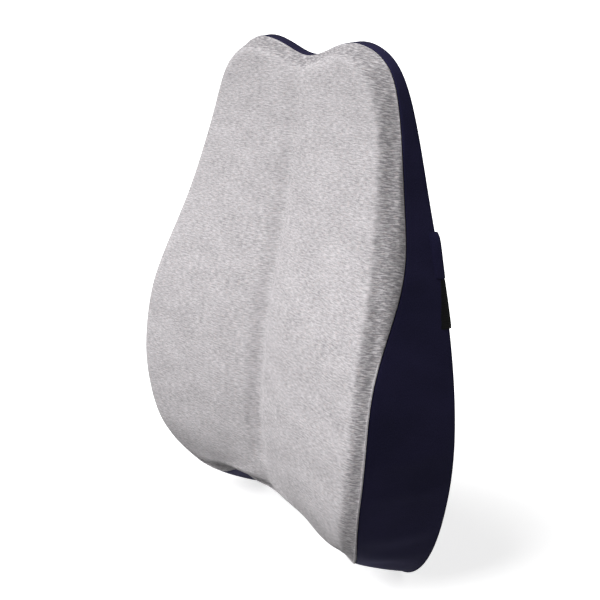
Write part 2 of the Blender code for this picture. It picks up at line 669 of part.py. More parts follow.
def make_slider():
    """The slider: a plate over the coils, a flange down each side and a crown for the pull."""
    half_x = SLIDER_LENGTH / 2.0
    top = COIL_BACK + GAP + SLIDER_PLATE
    slider = box_object("zip_slider", (SLIDER_X - half_x, COIL_BACK + GAP, ZIP_Z - SLIDER_WIDTH / 2.0),
                        (SLIDER_X + half_x, top, ZIP_Z + SLIDER_WIDTH / 2.0), METAL, 0.0003)
    flange = SLIDER_WIDTH / 2.0 - COIL_WIDTH - GAP * 2.0
    parts = []
    for sign in (-1.0, 1.0):
        edges = sorted((ZIP_Z + sign * (SLIDER_WIDTH / 2.0 - 0.0003),
                        ZIP_Z + sign * (SLIDER_WIDTH / 2.0 - flange)))
        parts.append(((SLIDER_X - half_x + 0.0005, COIL_BACK - COIL_THICK + GAP, edges[0]),
                      (SLIDER_X + half_x - 0.0005, top - 0.0004, edges[1])))
    for offset in (-CROWN_LENGTH / 2.0, CROWN_LENGTH / 2.0 - CROWN_WALL):
        parts.append(((SLIDER_X + offset, top - 0.0004, ZIP_Z - CROWN_WIDTH / 2.0),
                      (SLIDER_X + offset + CROWN_WALL, top + CROWN_ROOM + 0.0003,
                       ZIP_Z + CROWN_WIDTH / 2.0)))
    parts.append(((SLIDER_X - CROWN_LENGTH / 2.0 - 0.0002, top + CROWN_ROOM,
                   ZIP_Z - CROWN_WIDTH / 2.0 - 0.0001),
                  (SLIDER_X + CROWN_LENGTH / 2.0 + 0.0002, top + CROWN_ROOM + CROWN_WALL,
                   ZIP_Z + CROWN_WIDTH / 2.0 + 0.0001)))
    join_boxes(slider, parts)
    return slider


PULL_PIVOT = Vector((SLIDER_X, COIL_BACK + GAP + SLIDER_PLATE + CROWN_ROOM / 2.0, ZIP_Z))


def make_pull():
    """The pull tab, lying along the zip, with its end bar under the slider's crown."""
    pivot = PULL_PIVOT
    half_bar = PULL_THICK / 2.0
    low = pivot.y - half_bar
    pull = box_object("zip_pull", (pivot.x - PULL_LENGTH, low, pivot.z - PULL_WIDTH / 2.0),
                      (pivot.x + half_bar, low + PULL_THICK, pivot.z + PULL_WIDTH / 2.0), METAL, 0.0003)
    eye = CROWN_WIDTH / 2.0 + 0.0010
    cut_boxes(pull, [((pivot.x - half_bar - PULL_EYE, low - 0.01, pivot.z - eye),
                      (pivot.x - half_bar, low + 0.01, pivot.z + eye))])
    return pull


def make_label():
    """The blank care label, sewn into the left side's back seam and lying on the side band."""
    low = LABEL_HEIGHT - LABEL_LENGTH / 2.0
    back = -(CLOTH + GAP * 2.0)
    section = [
        (GAP, back), (GAP + LABEL_THICK, back), (GAP + LABEL_THICK, back - LABEL_REACH),
        (GAP, back - LABEL_REACH)]
    return wrap_edge("care_label", np.linspace(low, low + LABEL_LENGTH, 9), section, -1, LABEL)


clear_scene()
JERSEY = material("grey_jersey", (0.47, 0.45, 0.45), 0.95)
NAVY = material("navy_knit", (0.012, 0.011, 0.028), 0.9)
FOAM = material("foam", (0.86, 0.82, 0.70), 0.95)
ELASTIC = material("black_elastic", (0.012, 0.012, 0.014), 0.8)
PLASTIC = material("black_plastic", (0.015, 0.015, 0.016), 0.45)
TAPE = material("zip_tape", (0.014, 0.013, 0.030), 0.9)
COIL = material("zip_coil", (0.020, 0.019, 0.036), 0.5)
METAL = material("zip_metal", (0.06, 0.06, 0.065), 0.4, 0.8)
LABEL = material("label", (0.80, 0.80, 0.78), 0.8)
CUTTER = material("cutter", (1.0, 0.0, 1.0), 1.0)

ROWS = cushion_rings()
make_core(ROWS)
make_front_panel(ROWS)
make_side_gusset(ROWS)
make_back_panel(ROWS)
make_strap_right()
make_strap_left()
make_tab(1)
make_tab(-1)
make_socket()
make_plug()
make_arm(1)
make_arm(-1)
make_adjuster()
make_zip()
make_slider()
make_pull()
make_label()
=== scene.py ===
"""Lumbar support cushion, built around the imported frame."""
import math

import bmesh
import bpy
import numpy as np
from mathutils import Matrix, Vector


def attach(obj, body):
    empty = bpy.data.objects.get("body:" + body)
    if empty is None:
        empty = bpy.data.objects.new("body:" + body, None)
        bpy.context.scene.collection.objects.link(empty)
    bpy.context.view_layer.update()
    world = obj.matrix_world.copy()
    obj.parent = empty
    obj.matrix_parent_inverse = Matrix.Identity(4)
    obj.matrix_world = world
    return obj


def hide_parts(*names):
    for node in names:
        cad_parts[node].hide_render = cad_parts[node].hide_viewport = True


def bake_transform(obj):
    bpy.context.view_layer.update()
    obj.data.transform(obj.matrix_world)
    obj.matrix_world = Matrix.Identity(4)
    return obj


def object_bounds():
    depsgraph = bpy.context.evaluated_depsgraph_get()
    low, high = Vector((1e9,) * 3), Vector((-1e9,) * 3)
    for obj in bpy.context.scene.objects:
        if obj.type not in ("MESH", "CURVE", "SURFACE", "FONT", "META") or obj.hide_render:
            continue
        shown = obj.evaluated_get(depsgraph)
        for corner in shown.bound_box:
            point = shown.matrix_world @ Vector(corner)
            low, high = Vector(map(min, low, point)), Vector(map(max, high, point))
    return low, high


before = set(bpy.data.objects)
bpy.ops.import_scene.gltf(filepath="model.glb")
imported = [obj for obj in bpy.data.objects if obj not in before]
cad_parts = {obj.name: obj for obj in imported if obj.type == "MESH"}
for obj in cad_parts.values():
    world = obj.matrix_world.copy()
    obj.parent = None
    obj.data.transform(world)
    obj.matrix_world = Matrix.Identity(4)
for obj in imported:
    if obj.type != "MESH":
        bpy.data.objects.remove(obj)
cad_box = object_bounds()
bpy.ops.object.select_all(action="DESELECT")
scene = bpy.context.scene


# Camera. A long lens looks at the cushion's left wing edge-on and its right side broadside, from
# a little above its middle. These values are the rounded result of a fitting program.

CAMERA_AZIMUTH = math.radians(60.96)
CAMERA_HEIGHT = math.radians(14.07)
CAMERA_ROLL = math.radians(-1.43)
CAMERA_DISTANCE = 1.227
CAMERA_TARGET = Vector((0.0, -0.050, 0.0))
CAMERA_LENS = 82.8
CAMERA_SHIFT = (0.0436, -0.0038)

towards = Vector((
    math.sin(CAMERA_AZIMUTH) * math.cos(CAMERA_HEIGHT),
    -math.cos(CAMERA_AZIMUTH) * math.cos(CAMERA_HEIGHT),
    math.sin(CAMERA_HEIGHT)))
right = Vector((0.0, 0.0, 1.0)).cross(towards).normalized()
up = towards.cross(right)
camera_x = math.cos(CAMERA_ROLL) * right + math.sin(CAMERA_ROLL) * up
camera_y = -math.sin(CAMERA_ROLL) * right + math.cos(CAMERA_ROLL) * up
bpy.ops.object.camera_add()
camera = bpy.context.object
camera.name = "camera"
camera.matrix_world = Matrix.LocRotScale(
    CAMERA_TARGET + towards * CAMERA_DISTANCE,
    Matrix((camera_x, camera_y, towards)).transposed().to_quaternion(), None)
camera.data.lens = CAMERA_LENS
camera.data.sensor_width = 36.0
camera.data.shift_x, camera.data.shift_y = CAMERA_SHIFT
scene.camera = camera


# Studio. A wide pale floor under an even sky, with three broad soft lights: one in front of the
# cushion, one high on its left and one behind it.

FLOOR_COLOUR = (0.97, 0.97, 0.97)
SKY_LIGHT = 0.08
SKY_SEEN = 1.05
FLOOR_GLOW = 0.66
LIGHT_SPREAD = math.radians(60.0)


def new_material(name, colour, roughness, **sockets):
    material = bpy.data.materials.new(name)
    material.use_nodes = True
    shader = material.node_tree.nodes["Principled BSDF"]
    shader.inputs["Base Color"].default_value = (*colour[:3], 1.0)
    shader.inputs["Roughness"].default_value = roughness
    for socket, value in sockets.items():
        shader.inputs[socket.replace("_", " ")].default_value = value
    return material


bpy.ops.mesh.primitive_circle_add(
    vertices=96, radius=60.0, fill_type="NGON", location=(0.0, 0.0, cad_box[0][2] - 0.0006))
floor = bpy.context.object
floor.name = "floor"
floor.data.materials.append(new_material(
    "floor_paint", FLOOR_COLOUR, 1.0, Specular_IOR_Level=0.0,
    Emission_Color=(1.0, 1.0, 1.0, 1.0), Emission_Strength=FLOOR_GLOW))
floor.visible_diffuse = False
floor.select_set(False)

for name, direction, energy in (
        ("front_light", (-0.40, -1.0, 0.10), 0.5),
        ("high_light", (-0.20, -0.78, 0.84), 3.65),
        ("back_light", (0.30, 0.95, 0.45), 0.9)):
    bpy.ops.object.light_add(type="SUN", location=Vector(direction) * 2.0)
    soft_light = bpy.context.object
    soft_light.name = name
    soft_light.data.energy = energy
    soft_light.data.angle = LIGHT_SPREAD
    soft_light.rotation_euler = Vector(direction).to_track_quat("Z", "Y").to_euler()
    soft_light.select_set(False)

sky = bpy.data.worlds.new("sky")
scene.world = sky
sky.use_nodes = True
background = sky.node_tree.nodes["Background"]
background.inputs["Color"].default_value = (1.0, 1.0, 1.0, 1.0)
light_path = sky.node_tree.nodes.new("ShaderNodeLightPath")
sky_strength = sky.node_tree.nodes.new("ShaderNodeMapRange")
sky_strength.inputs["To Min"].default_value = SKY_LIGHT
sky_strength.inputs["To Max"].default_value = SKY_SEEN
sky.node_tree.links.new(light_path.outputs["Is Camera Ray"], sky_strength.inputs["Value"])
sky.node_tree.links.new(sky_strength.outputs["Result"], background.inputs["Strength"])
scene.view_settings.view_transform = "Standard"


# Stuffed cover. The cover is sewn from a pale front panel, a dark side band and a flat back panel
# over one block of foam, so all three and the foam follow this one form: a two-lobed outline with
# a rolled front edge, wings that stand forward and a channel for the spine.

WIDTH = 0.404
HEIGHT = 0.450
DEPTH = 0.096
BASE = -HEIGHT / 2.0
UNDERSIDE_RISE = 0.022     # how much higher the underside is at the front seam
ARCH_RISE = 0.22           # the share of that rise in the arch between the lobes
ARCH_HALF = 0.070
WING_START = 0.045         # where the flat part of each wing begins, from the middle
GROOVE_HALF = 0.019        # the narrow groove over the spine
HOLLOW_HALF = 0.062        # the wide hollow that the groove lies in
GROOVE_SHARE = 0.44
FACE_EDGE = 0.032          # from the back outline in to where the rolled edge meets the face
SPINE_TOP = 0.80           # ends of the line that the face's rows close on, / height
SPINE_BOTTOM = 0.34
AROUND = 240
BAND_ROWS = 9
ROLL_ROWS = 12
FACE_ROWS = 26
SWELL_LIMIT = 0.0016       # how far the stuffing may push the cloth
SWELL_FRAMES = 20

# Half outline from the notch at the top down to the arch at the bottom: x / half width,
# z / height, depth of the side band / depth, radius of the front edge in metres. Most of these
# shares, and part of the profiles below, were made by a fitting program, not chosen by hand.
OUTLINE = (
    (0.000, 0.969, 0.10, 0.030), (0.153, 0.982, 0.10, 0.029), (0.386, 1.000, 0.11, 0.029),
    (0.604, 0.967, 0.10, 0.032), (0.728, 0.878, 0.15, 0.030), (0.827, 0.733, 0.25, 0.032),
    (0.911, 0.609, 0.385, 0.033), (0.985, 0.456, 0.755, 0.034), (1.000, 0.300, 0.893, 0.040),
    (0.944, 0.174, 0.884, 0.046), (0.780, 0.036, 0.690, 0.040), (0.600, 0.000, 0.530, 0.046),
    (0.280, 0.062, 0.558, 0.036), (0.000, 0.086, 0.575, 0.032))

# Depth of the front face at its edge and beside the channel, as shares of the depth
PROFILE_HEIGHTS = (0.0, 0.133, 0.289, 0.467, 0.667, 0.844, 1.0)
PROFILE_EDGE = (0.42, 0.95, 1.00, 0.89, 0.555, 0.348, 0.30)
PROFILE_WING = (0.47, 0.77, 0.86, 0.77, 0.50, 0.33, 0.25)
PROFILE_CHANNEL = (0.07, 0.10, 0.14, 0.145, 0.10, 0.06, 0.04)

# Section of the rolled front edge, from the seam to the face: inset / radius, climb / full climb
ROLL_INSET = (0.0, 0.085, 0.185, 0.28, 0.36, 0.47, 0.63, 0.81, 1.0)
ROLL_CLIMB = (0.0, 0.29, 0.57, 0.79, 0.905, 0.966, 0.99, 0.998, 1.0)


def smooth_step(value):
    value = np.clip(value, 0.0, 1.0)
    return value * value * (3.0 - 2.0 * value)


def closed_spline(points, count):
    """Evenly spaced points on a closed natural cubic through the given ones."""
    points = np.asarray(points, dtype=float)
    total = len(points)
    step = np.linalg.norm(np.roll(points[:, :2], -1, 0) - points[:, :2], axis=1) ** 0.75
    before = np.roll(step, 1)
    system = np.zeros((total, total))
    for i in range(total):
        system[i, i - 1] = before[i]
        system[i, i] = 2.0 * (before[i] + step[i])
        system[i, (i + 1) % total] = step[i]
    slope = (np.roll(points, -1, 0) - points) / step[:, None]
    bend = np.linalg.solve(system, 6.0 * (slope - np.roll(slope, 1, 0)))
    fine = []
    for i in range(total):
        share = np.linspace(0.0, 1.0, 60, endpoint=False)[:, None]
        following = (i + 1) % total
        line = points[i] * (1.0 - share) + points[following] * share
        pull = ((1.0 - share) ** 3 - (1.0 - share)) * bend[i] + (share ** 3 - share) * bend[following]
        fine.append(line + pull * step[i] ** 2 / 6.0)
    fine = np.vstack(fine)
    lengths = np.linalg.norm(np.roll(fine[:, :2], -1, 0) - fine[:, :2], axis=1)
    along = np.concatenate([[0.0], np.cumsum(lengths)])
    fine = np.vstack([fine, fine[:1]])
    wanted = np.linspace(0.0, along[-1], count, endpoint=False)
    return np.column_stack([np.interp(wanted, along, fine[:, i]) for i in range(fine.shape[1])])


half_outline = [(x * WIDTH / 2.0, z * HEIGHT, band * DEPTH, radius) for x, z, band, radius in OUTLINE]
other_half = [(-x, z, band, radius) for x, z, band, radius in reversed(half_outline[1:-1])]
rim = closed_spline(half_outline + other_half, AROUND)
rim_flank = rim[:AROUND // 2][rim[:AROUND // 2, 0] > WIDTH * 0.27]
rim_flank = rim_flank[np.argsort(rim_flank[:, 1])]
fine_heights = np.linspace(0.0, 1.0, 101)


def smoothed(values, width, ends):
    """Values after a bell-shaped average over an odd number of neighbours."""
    window = np.hanning(width)
    padded = np.pad(values, width // 2, mode=ends)
    return np.convolve(padded, window / window.sum(), mode="valid")


def rounded_profile(values):
    raw = np.interp(fine_heights, PROFILE_HEIGHTS, values)
    return smoothed(raw, 21, "edge") * DEPTH


def half_width(z):
    """Half width of the back outline at a height above the base."""
    return np.interp(z, rim_flank[:, 1], rim_flank[:, 0])


def front_depth(x, z):
    """How far the front face stands in front of the back face."""
    side = np.maximum(half_width(z) - FACE_EDGE, WING_START + 0.01)
    wing = np.interp(z / HEIGHT, fine_heights, rounded_profile(PROFILE_WING))
    edge = np.interp(z / HEIGHT, fine_heights, rounded_profile(PROFILE_EDGE))
    channel = np.interp(z / HEIGHT, fine_heights, rounded_profile(PROFILE_CHANNEL))
    outward = np.clip((np.abs(x) - WING_START) / (side - WING_START), 0.0, 1.2)
    groove = 1.0 - smooth_step(np.abs(x) / GROOVE_HALF)
    hollow = 1.0 - smooth_step(np.abs(x) / HOLLOW_HALF)
    sunk = channel * (GROOVE_SHARE * groove + (1.0 - GROOVE_SHARE) * hollow)
    return wing - sunk + (edge - wing) * outward


tangent = np.roll(rim[:, :2], -1, 0) - np.roll(rim[:, :2], 1, 0)
tangent /= np.linalg.norm(tangent, axis=1)[:, None]
inward = np.column_stack([tangent[:, 1], -tangent[:, 0]])
inward = np.column_stack([smoothed(inward[:, k], 31, "wrap") for k in (0, 1)])
inward /= np.linalg.norm(inward, axis=1)[:, None]
rise = UNDERSIDE_RISE * smooth_step(inward[:, 1]) * (rim[:, 1] < HEIGHT / 2.0)
rise *= ARCH_RISE + (1.0 - ARCH_RISE) * smooth_step(np.abs(rim[:, 0]) / ARCH_HALF - 0.3)

cover_rows = []
for share in np.linspace(0.0, 1.0, BAND_ROWS):
    row = np.column_stack([rim[:, 0], -rim[:, 2] * share, rim[:, 1] + rise * share])
    cover_rows.append(row)
roll_steps = np.linspace(0.0, 1.0, len(ROLL_INSET))
for share in np.linspace(0.0, 1.0, ROLL_ROWS + 1)[1:]:
    inset = rim[:, 3] * np.interp(share, roll_steps, ROLL_INSET)
    row_x = rim[:, 0] + inward[:, 0] * inset
    row_z = rim[:, 1] + inward[:, 1] * inset + rise
    climb = (front_depth(row_x, row_z) - rim[:, 2]) * np.interp(share, roll_steps, ROLL_CLIMB)
    cover_rows.append(np.column_stack([row_x, -(rim[:, 2] + climb), row_z]))
crest = cover_rows[-1]
turns = np.minimum(np.arange(AROUND), AROUND - np.arange(AROUND)) / (AROUND / 2.0)
spine = HEIGHT * (SPINE_TOP + (SPINE_BOTTOM - SPINE_TOP) * (0.5 - 0.5 * np.cos(math.pi * turns)))
for share in np.linspace(1.0, 0.0, FACE_ROWS + 1)[1:] ** 1.6:
    row_x = crest[:, 0] * share
    row_z = spine + (crest[:, 2] - spine) * share
    cover_rows.append(np.column_stack([row_x, -front_depth(row_x, row_z), row_z]))
cover_rows = np.array(cover_rows)
cover_rows[:, :, 2] += BASE
SEAM_ROW = BAND_ROWS - 1


def grid_faces(count, around, closed_spine):
    """Quads between rows of points; the last row may be folded together along the spine."""
    def index(row, i):
        i = i % around
        if closed_spine and row == count - 1:
            i = min(i, around - i)
        return row * around + i
    faces = []
    for row in range(count - 1):
        for i in range(around):
            faces.append((index(row, i), index(row, i + 1), index(row + 1, i + 1), index(row + 1, i)))
    return faces


def mesh_object(name, points, faces, material=None, uv=None):
    """An object from points and faces, without loose points, and with its flat pattern in a UV map."""
    mesh = bpy.data.meshes.new(name)
    mesh.from_pydata([tuple(point) for point in points], [], faces)
    if uv is not None:
        layer = mesh.uv_layers.new(name="cut")
        corners = np.empty(len(mesh.loops), dtype=int)
        mesh.loops.foreach_get("vertex_index", corners)
        layer.data.foreach_set("uv", np.asarray(uv, dtype=np.float32)[corners].ravel())
    shape = bmesh.new()
    shape.from_mesh(mesh)
    loose = [vert for vert in shape.verts if not vert.link_faces]
    bmesh.ops.delete(shape, geom=loose, context="VERTS")
    shape.to_mesh(mesh)
    shape.free()
    mesh.shade_smooth()
    if material is not None:
        mesh.materials.append(material)
    item = bpy.data.objects.new(name, mesh)
    scene.collection.objects.link(item)
    return item


def swell(rows):
    """The stuffed cover's rows after a short cloth simulation, held along its back edge and, a little
    less firmly, along its front seam."""
    points = rows.reshape(-1, 3)
    bag = mesh_object("bag", points, grid_faces(len(rows), AROUND, True))
    kept = np.array([min(i, AROUND - i) == i or row < len(rows) - 1
                     for row in range(len(rows)) for i in range(AROUND)])
    held = bag.vertex_groups.new(name="held")
    held.add(list(range(AROUND)), 1.0, "REPLACE")
    held.add(list(range(SEAM_ROW * AROUND, (SEAM_ROW + 1) * AROUND)), 0.9, "REPLACE")
    cloth = bag.modifiers.new("stuffing", "CLOTH")
    cloth.settings.quality = 6
    cloth.settings.mass = 0.25
    cloth.settings.tension_stiffness = 40.0
    cloth.settings.compression_stiffness = 40.0
    cloth.settings.bending_stiffness = 2.0
    cloth.settings.vertex_group_mass = "held"
    cloth.settings.use_pressure = True
    cloth.settings.uniform_pressure_force = 4.0
    cloth.settings.effector_weights.gravity = 0.0
    cloth.point_cache.frame_start = 1
    cloth.point_cache.frame_end = SWELL_FRAMES
    for step in range(1, SWELL_FRAMES + 1):
        scene.frame_set(step)
    swollen = bag.evaluated_get(bpy.context.evaluated_depsgraph_get())
    places = np.empty(len(swollen.data.vertices) * 3)
    swollen.data.vertices.foreach_get("co", places)
    result = points.copy()
    result[kept] = places.reshape(-1, 3)
    move = result - points
    reach = np.linalg.norm(move, axis=1)
    move *= np.minimum(1.0, SWELL_LIMIT / np.maximum(reach, 1e-9))[:, None]
    bpy.data.objects.remove(bag, do_unlink=True)
    scene.frame_set(1)
    result = (points + move).reshape(rows.shape)
    for i in range(AROUND):
        result[-1, i] = result[-1, min(i, AROUND - i)]
    return result


cover_rows = swell(cover_rows)


def add_node(material, kind, inputs, **settings):
    """A shader node with its settings and its inputs, which are numbers, colours or links."""
    made = material.node_tree.nodes.new(kind)
    for key, value in settings.items():
        setattr(made, key, value)
    for key, value in inputs.items():
        if isinstance(value, bpy.types.NodeSocket):
            material.node_tree.links.new(value, made.inputs[key])
        else:
            made.inputs[key].default_value = value
    return made


def join(material, output, socket):
    shader = material.node_tree.nodes["Principled BSDF"]
    material.node_tree.links.new(output, shader.inputs[socket])


def blend_colours(material, share, low, high):
    """Mix two colours, or colour outputs, by a share."""
    mixed = add_node(material, "ShaderNodeMix", {0: share, 6: low, 7: high}, data_type="RGBA")
    return mixed.outputs[2]


def stretched_noise(material, coordinates, scale, detail=2.0, roughness=0.5):
    """Noise whose grains have a size of their own along each direction."""
    mapped = add_node(material, "ShaderNodeMapping", {"Vector": coordinates, "Scale": scale})
    return add_node(
        material, "ShaderNodeTexNoise",
        {"Vector": mapped.outputs[0], "Scale": 1.0, "Detail": detail, "Roughness": roughness})


def levels(material, value, low, high, bottom, top):
    """Spread a value from low..high to bottom..top."""
    spread = add_node(
        material, "ShaderNodeMapRange",
        {"Value": value, "From Min": low, "From Max": high, "To Min": bottom, "To Max": top})
    return spread.outputs[0]


# Front panel. Heather jersey, a fine knit of pale and darker grey yarns whose flecks run across
# the cushion. It wraps over the rolled edge and is sewn to the side band along its whole rim.

JERSEY_PALE = (0.68, 0.65, 0.67, 1.0)
JERSEY_DARK = (0.25, 0.237, 0.25, 1.0)
JERSEY_WARM = (0.60, 0.52, 0.50, 1.0)
JERSEY_COOL = (0.47, 0.50, 0.49, 1.0)
# Painted highlight: a lighter grey for the jersey at the seam, where its edge would catch the light.
JERSEY_PAINTED_HIGHLIGHT = (0.74, 0.72, 0.74, 1.0)
JERSEY_THICK = 0.0016
SEAM_TUCK = 0.0011
EDGE_SHADE_PAINTED = 0.9             # painted shade: how many more dark flecks are painted on the rolled edge to darken it

jersey = new_material("heather_jersey", JERSEY_PALE, 0.95, Sheen_Weight=0.05, Sheen_Roughness=0.6)
jersey.node_tree.nodes["Principled BSDF"].inputs["Specular IOR Level"].default_value = 0.25
cut = add_node(jersey, "ShaderNodeTexCoord", {}).outputs["UV"]
fleck = stretched_noise(jersey, cut, (150.0, 900.0, 1.0), 3.0, 0.62)
fine = stretched_noise(jersey, cut, (520.0, 1900.0, 1.0), 2.0, 0.6)
cloud = stretched_noise(jersey, cut, (22.0, 60.0, 1.0), 3.0, 0.55)
tint = stretched_noise(jersey, cut, (210.0, 700.0, 1.0), 1.0, 0.5)
fleck_share = levels(jersey, fleck.outputs[0], 0.34, 0.66, 0.0, 0.72)
fine_share = levels(jersey, fine.outputs[0], 0.30, 0.72, -0.16, 0.26)
cloud_share = levels(jersey, cloud.outputs[0], 0.35, 0.65, -0.07, 0.10)
# Painted shade: an attribute set by row mixes in more of the dark flecks on the rolled edge, so the
# side facing away from the light is darker.
painted_edge_shade = add_node(jersey, "ShaderNodeAttribute", {}, attribute_name="painted_edge_shade").outputs["Fac"]
flecks_with_painted_shade = add_node(
    jersey, "ShaderNodeMath", {0: fleck_share, 1: painted_edge_shade, 2: fleck_share}, operation="MULTIPLY_ADD")
mixed = add_node(jersey, "ShaderNodeMath", {0: flecks_with_painted_shade.outputs[0], 1: fine_share}, operation="ADD")
mixed = add_node(
    jersey, "ShaderNodeMath", {0: mixed.outputs[0], 1: cloud_share}, operation="ADD", use_clamp=True)
yarn = blend_colours(jersey, mixed.outputs[0], JERSEY_PALE, JERSEY_DARK)
yarn = blend_colours(
    jersey, levels(jersey, tint.outputs[0], 0.58, 0.70, 0.0, 0.38), yarn, JERSEY_WARM)
yarn = blend_colours(
    jersey, levels(jersey, tint.outputs[0], 0.42, 0.30, 0.0, 0.30), yarn, JERSEY_COOL)
# Painted highlight: the rows at the seam are mixed towards the lighter grey.
seam_highlight_share = add_node(jersey, "ShaderNodeAttribute", {}, attribute_name="seam_highlight_share").outputs["Fac"]
yarn = blend_colours(jersey, seam_highlight_share, yarn, JERSEY_PAINTED_HIGHLIGHT)
join(jersey, yarn, "Base Color")
pile = add_node(jersey, "ShaderNodeMath", {0: fleck.outputs[0], 1: fine.outputs[0]}, operation="ADD")
jersey_relief = add_node(
    jersey, "ShaderNodeBump", {"Height": pile.outputs[0], "Strength": 0.5, "Distance": 0.00055})
join(jersey, jersey_relief.outputs[0], "Normal")


def flat_cut(rows):
    """Where each point of the front panel lay in the flat cloth, in metres."""
    steps = np.linalg.norm(np.diff(rows, axis=0), axis=2)
    flat = [None] * len(rows)
    for row in range(ROLL_ROWS, len(rows)):
        flat[row] = rows[row][:, [0, 2]]
    for row in range(ROLL_ROWS - 1, -1, -1):
        flat[row] = flat[row + 1] - inward * steps[row][:, None]
    return np.array(flat)


def with_seam_rows(rows):
    """The rows with two more close to the seam, which keep its tuck narrow."""
    edge = rows[0] * 0.93 + rows[1] * 0.07
    extra = rows[0] * 0.72 + rows[1] * 0.28
    return np.concatenate([rows[:1], edge[None], extra[None], rows[1:]])


def sewn_edge(rows, first, depth):
    """Tuck the rows nearest a seam into it, along the cover's own inward direction."""
    tucked = rows.copy()
    for offset, share in enumerate((1.0, 0.25)):
        row = offset if first else len(rows) - 1 - offset
        tucked[row, :, 0] += inward[:, 0] * depth * share
        tucked[row, :, 2] += inward[:, 1] * depth * share
    return tucked


def solid_cloth(item, thickness):
    """Give a cloth panel its thickness, inwards, and round it off."""
    thick = item.modifiers.new("thickness", "SOLIDIFY")
    thick.thickness = thickness
    thick.offset = -1.0
    thick.use_rim = True
    bpy.context.view_layer.objects.active = item
    item.select_set(True)
    bpy.ops.object.modifier_apply(modifier="thickness")
    item.select_set(False)
    rounded = item.modifiers.new("rounding", "SUBSURF")
    rounded.levels = 1
    rounded.render_levels = 1


def outward(item, centre):
    """Turn a shell's faces away from the cushion's middle."""
    shape = bmesh.new()
    shape.from_mesh(item.data)
    bmesh.ops.recalc_face_normals(shape, faces=shape.faces)
    facing = sum((face.calc_center_median() - centre).dot(face.normal) * face.calc_area()
                 for face in shape.faces)
    if facing < 0.0:
        bmesh.ops.reverse_faces(shape, faces=shape.faces)
    shape.to_mesh(item.data)
    shape.free()


def set_by_row(item, name, values):
    """Give each point of a panel a value for the shader, by its row."""
    layer = item.data.attributes.new(name, "FLOAT", "POINT")
    by_point = np.repeat(values, AROUND)[:len(item.data.vertices)]
    layer.data.foreach_set("value", by_point.astype(np.float32))


cushion_middle = Vector((0.0, -DEPTH / 3.0, 0.0))
panel_flat = with_seam_rows(flat_cut(cover_rows[SEAM_ROW:]))
panel_rows = with_seam_rows(cover_rows[SEAM_ROW:])
panel_rows[:, :, 1] -= 0.0004 * np.linspace(1.0, 0.0, len(panel_rows))[:, None] ** 4
front_panel = mesh_object(
    "cover_front", sewn_edge(panel_rows, True, SEAM_TUCK).reshape(-1, 3),
    grid_faces(len(panel_rows), AROUND, True), jersey, panel_flat.reshape(-1, 2))
# Painted highlight: the two rows at the seam get most of the lighter grey.
seam_highlight_by_row = np.zeros(len(panel_rows))
seam_highlight_by_row[:2] = (0.85, 0.6)
set_by_row(front_panel, "seam_highlight_share", seam_highlight_by_row)
# Painted shade: the rows round the outer part of the rolled edge get the extra dark flecks.
painted_edge_shade_by_row = np.zeros(len(panel_rows))
painted_edge_shade_by_row[:ROLL_ROWS + 2] = EDGE_SHADE_PAINTED * (1.0 - smooth_step(
    (np.arange(ROLL_ROWS + 2) - 0.42 * ROLL_ROWS) / (0.30 * ROLL_ROWS)))
set_by_row(front_panel, "painted_edge_shade", painted_edge_shade_by_row)
outward(front_panel, cushion_middle)
solid_cloth(front_panel, JERSEY_THICK)
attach(front_panel, "root")
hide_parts("cover_front_panel")


# Side band. Smooth navy knit that runs round the whole edge between the front and the back panel,
# narrow at the top and wide at the bottom, slightly crowned by the foam behind it.

NAVY_DARK = (0.0070, 0.0064, 0.0270, 1.0)
NAVY_PALE = (0.0210, 0.0180, 0.0620, 1.0)
BAND_THICK = 0.0016
BAND_CROWN = 0.0012

navy = new_material("navy_knit", NAVY_DARK, 0.9, Sheen_Weight=0.015, Sheen_Roughness=0.5)
navy.node_tree.nodes["Principled BSDF"].inputs["Specular IOR Level"].default_value = 0.15
cut = add_node(navy, "ShaderNodeTexCoord", {}).outputs["UV"]
wale = stretched_noise(navy, cut, (900.0, 1500.0, 1.0), 2.0, 0.6)
shade = stretched_noise(navy, cut, (14.0, 9.0, 1.0), 3.0, 0.5)
mixed = add_node(
    navy, "ShaderNodeMath",
    {0: levels(navy, wale.outputs[0], 0.3, 0.7, 0.0, 0.7),
     1: levels(navy, shade.outputs[0], 0.3, 0.7, -0.35, 0.50)}, operation="ADD", use_clamp=True)
join(navy, blend_colours(navy, mixed.outputs[0], NAVY_DARK, NAVY_PALE), "Base Color")
navy_relief = add_node(
    navy, "ShaderNodeBump", {"Height": wale.outputs[0], "Strength": 0.35, "Distance": 0.0003})
join(navy, navy_relief.outputs[0], "Normal")


def band_cut(rows):
    """Flat position of the side band's points: along the rim and across the band."""
    around_steps = np.linalg.norm(np.roll(rim[:, :2], -1, 0) - rim[:, :2], axis=1)
    along = np.concatenate([[0.0], np.cumsum(around_steps)[:-1]])
    flat = np.zeros((len(rows), AROUND, 2))
    flat[:, :, 0] = along
    flat[:, :, 1] = -rows[:, :, 1]
    return flat


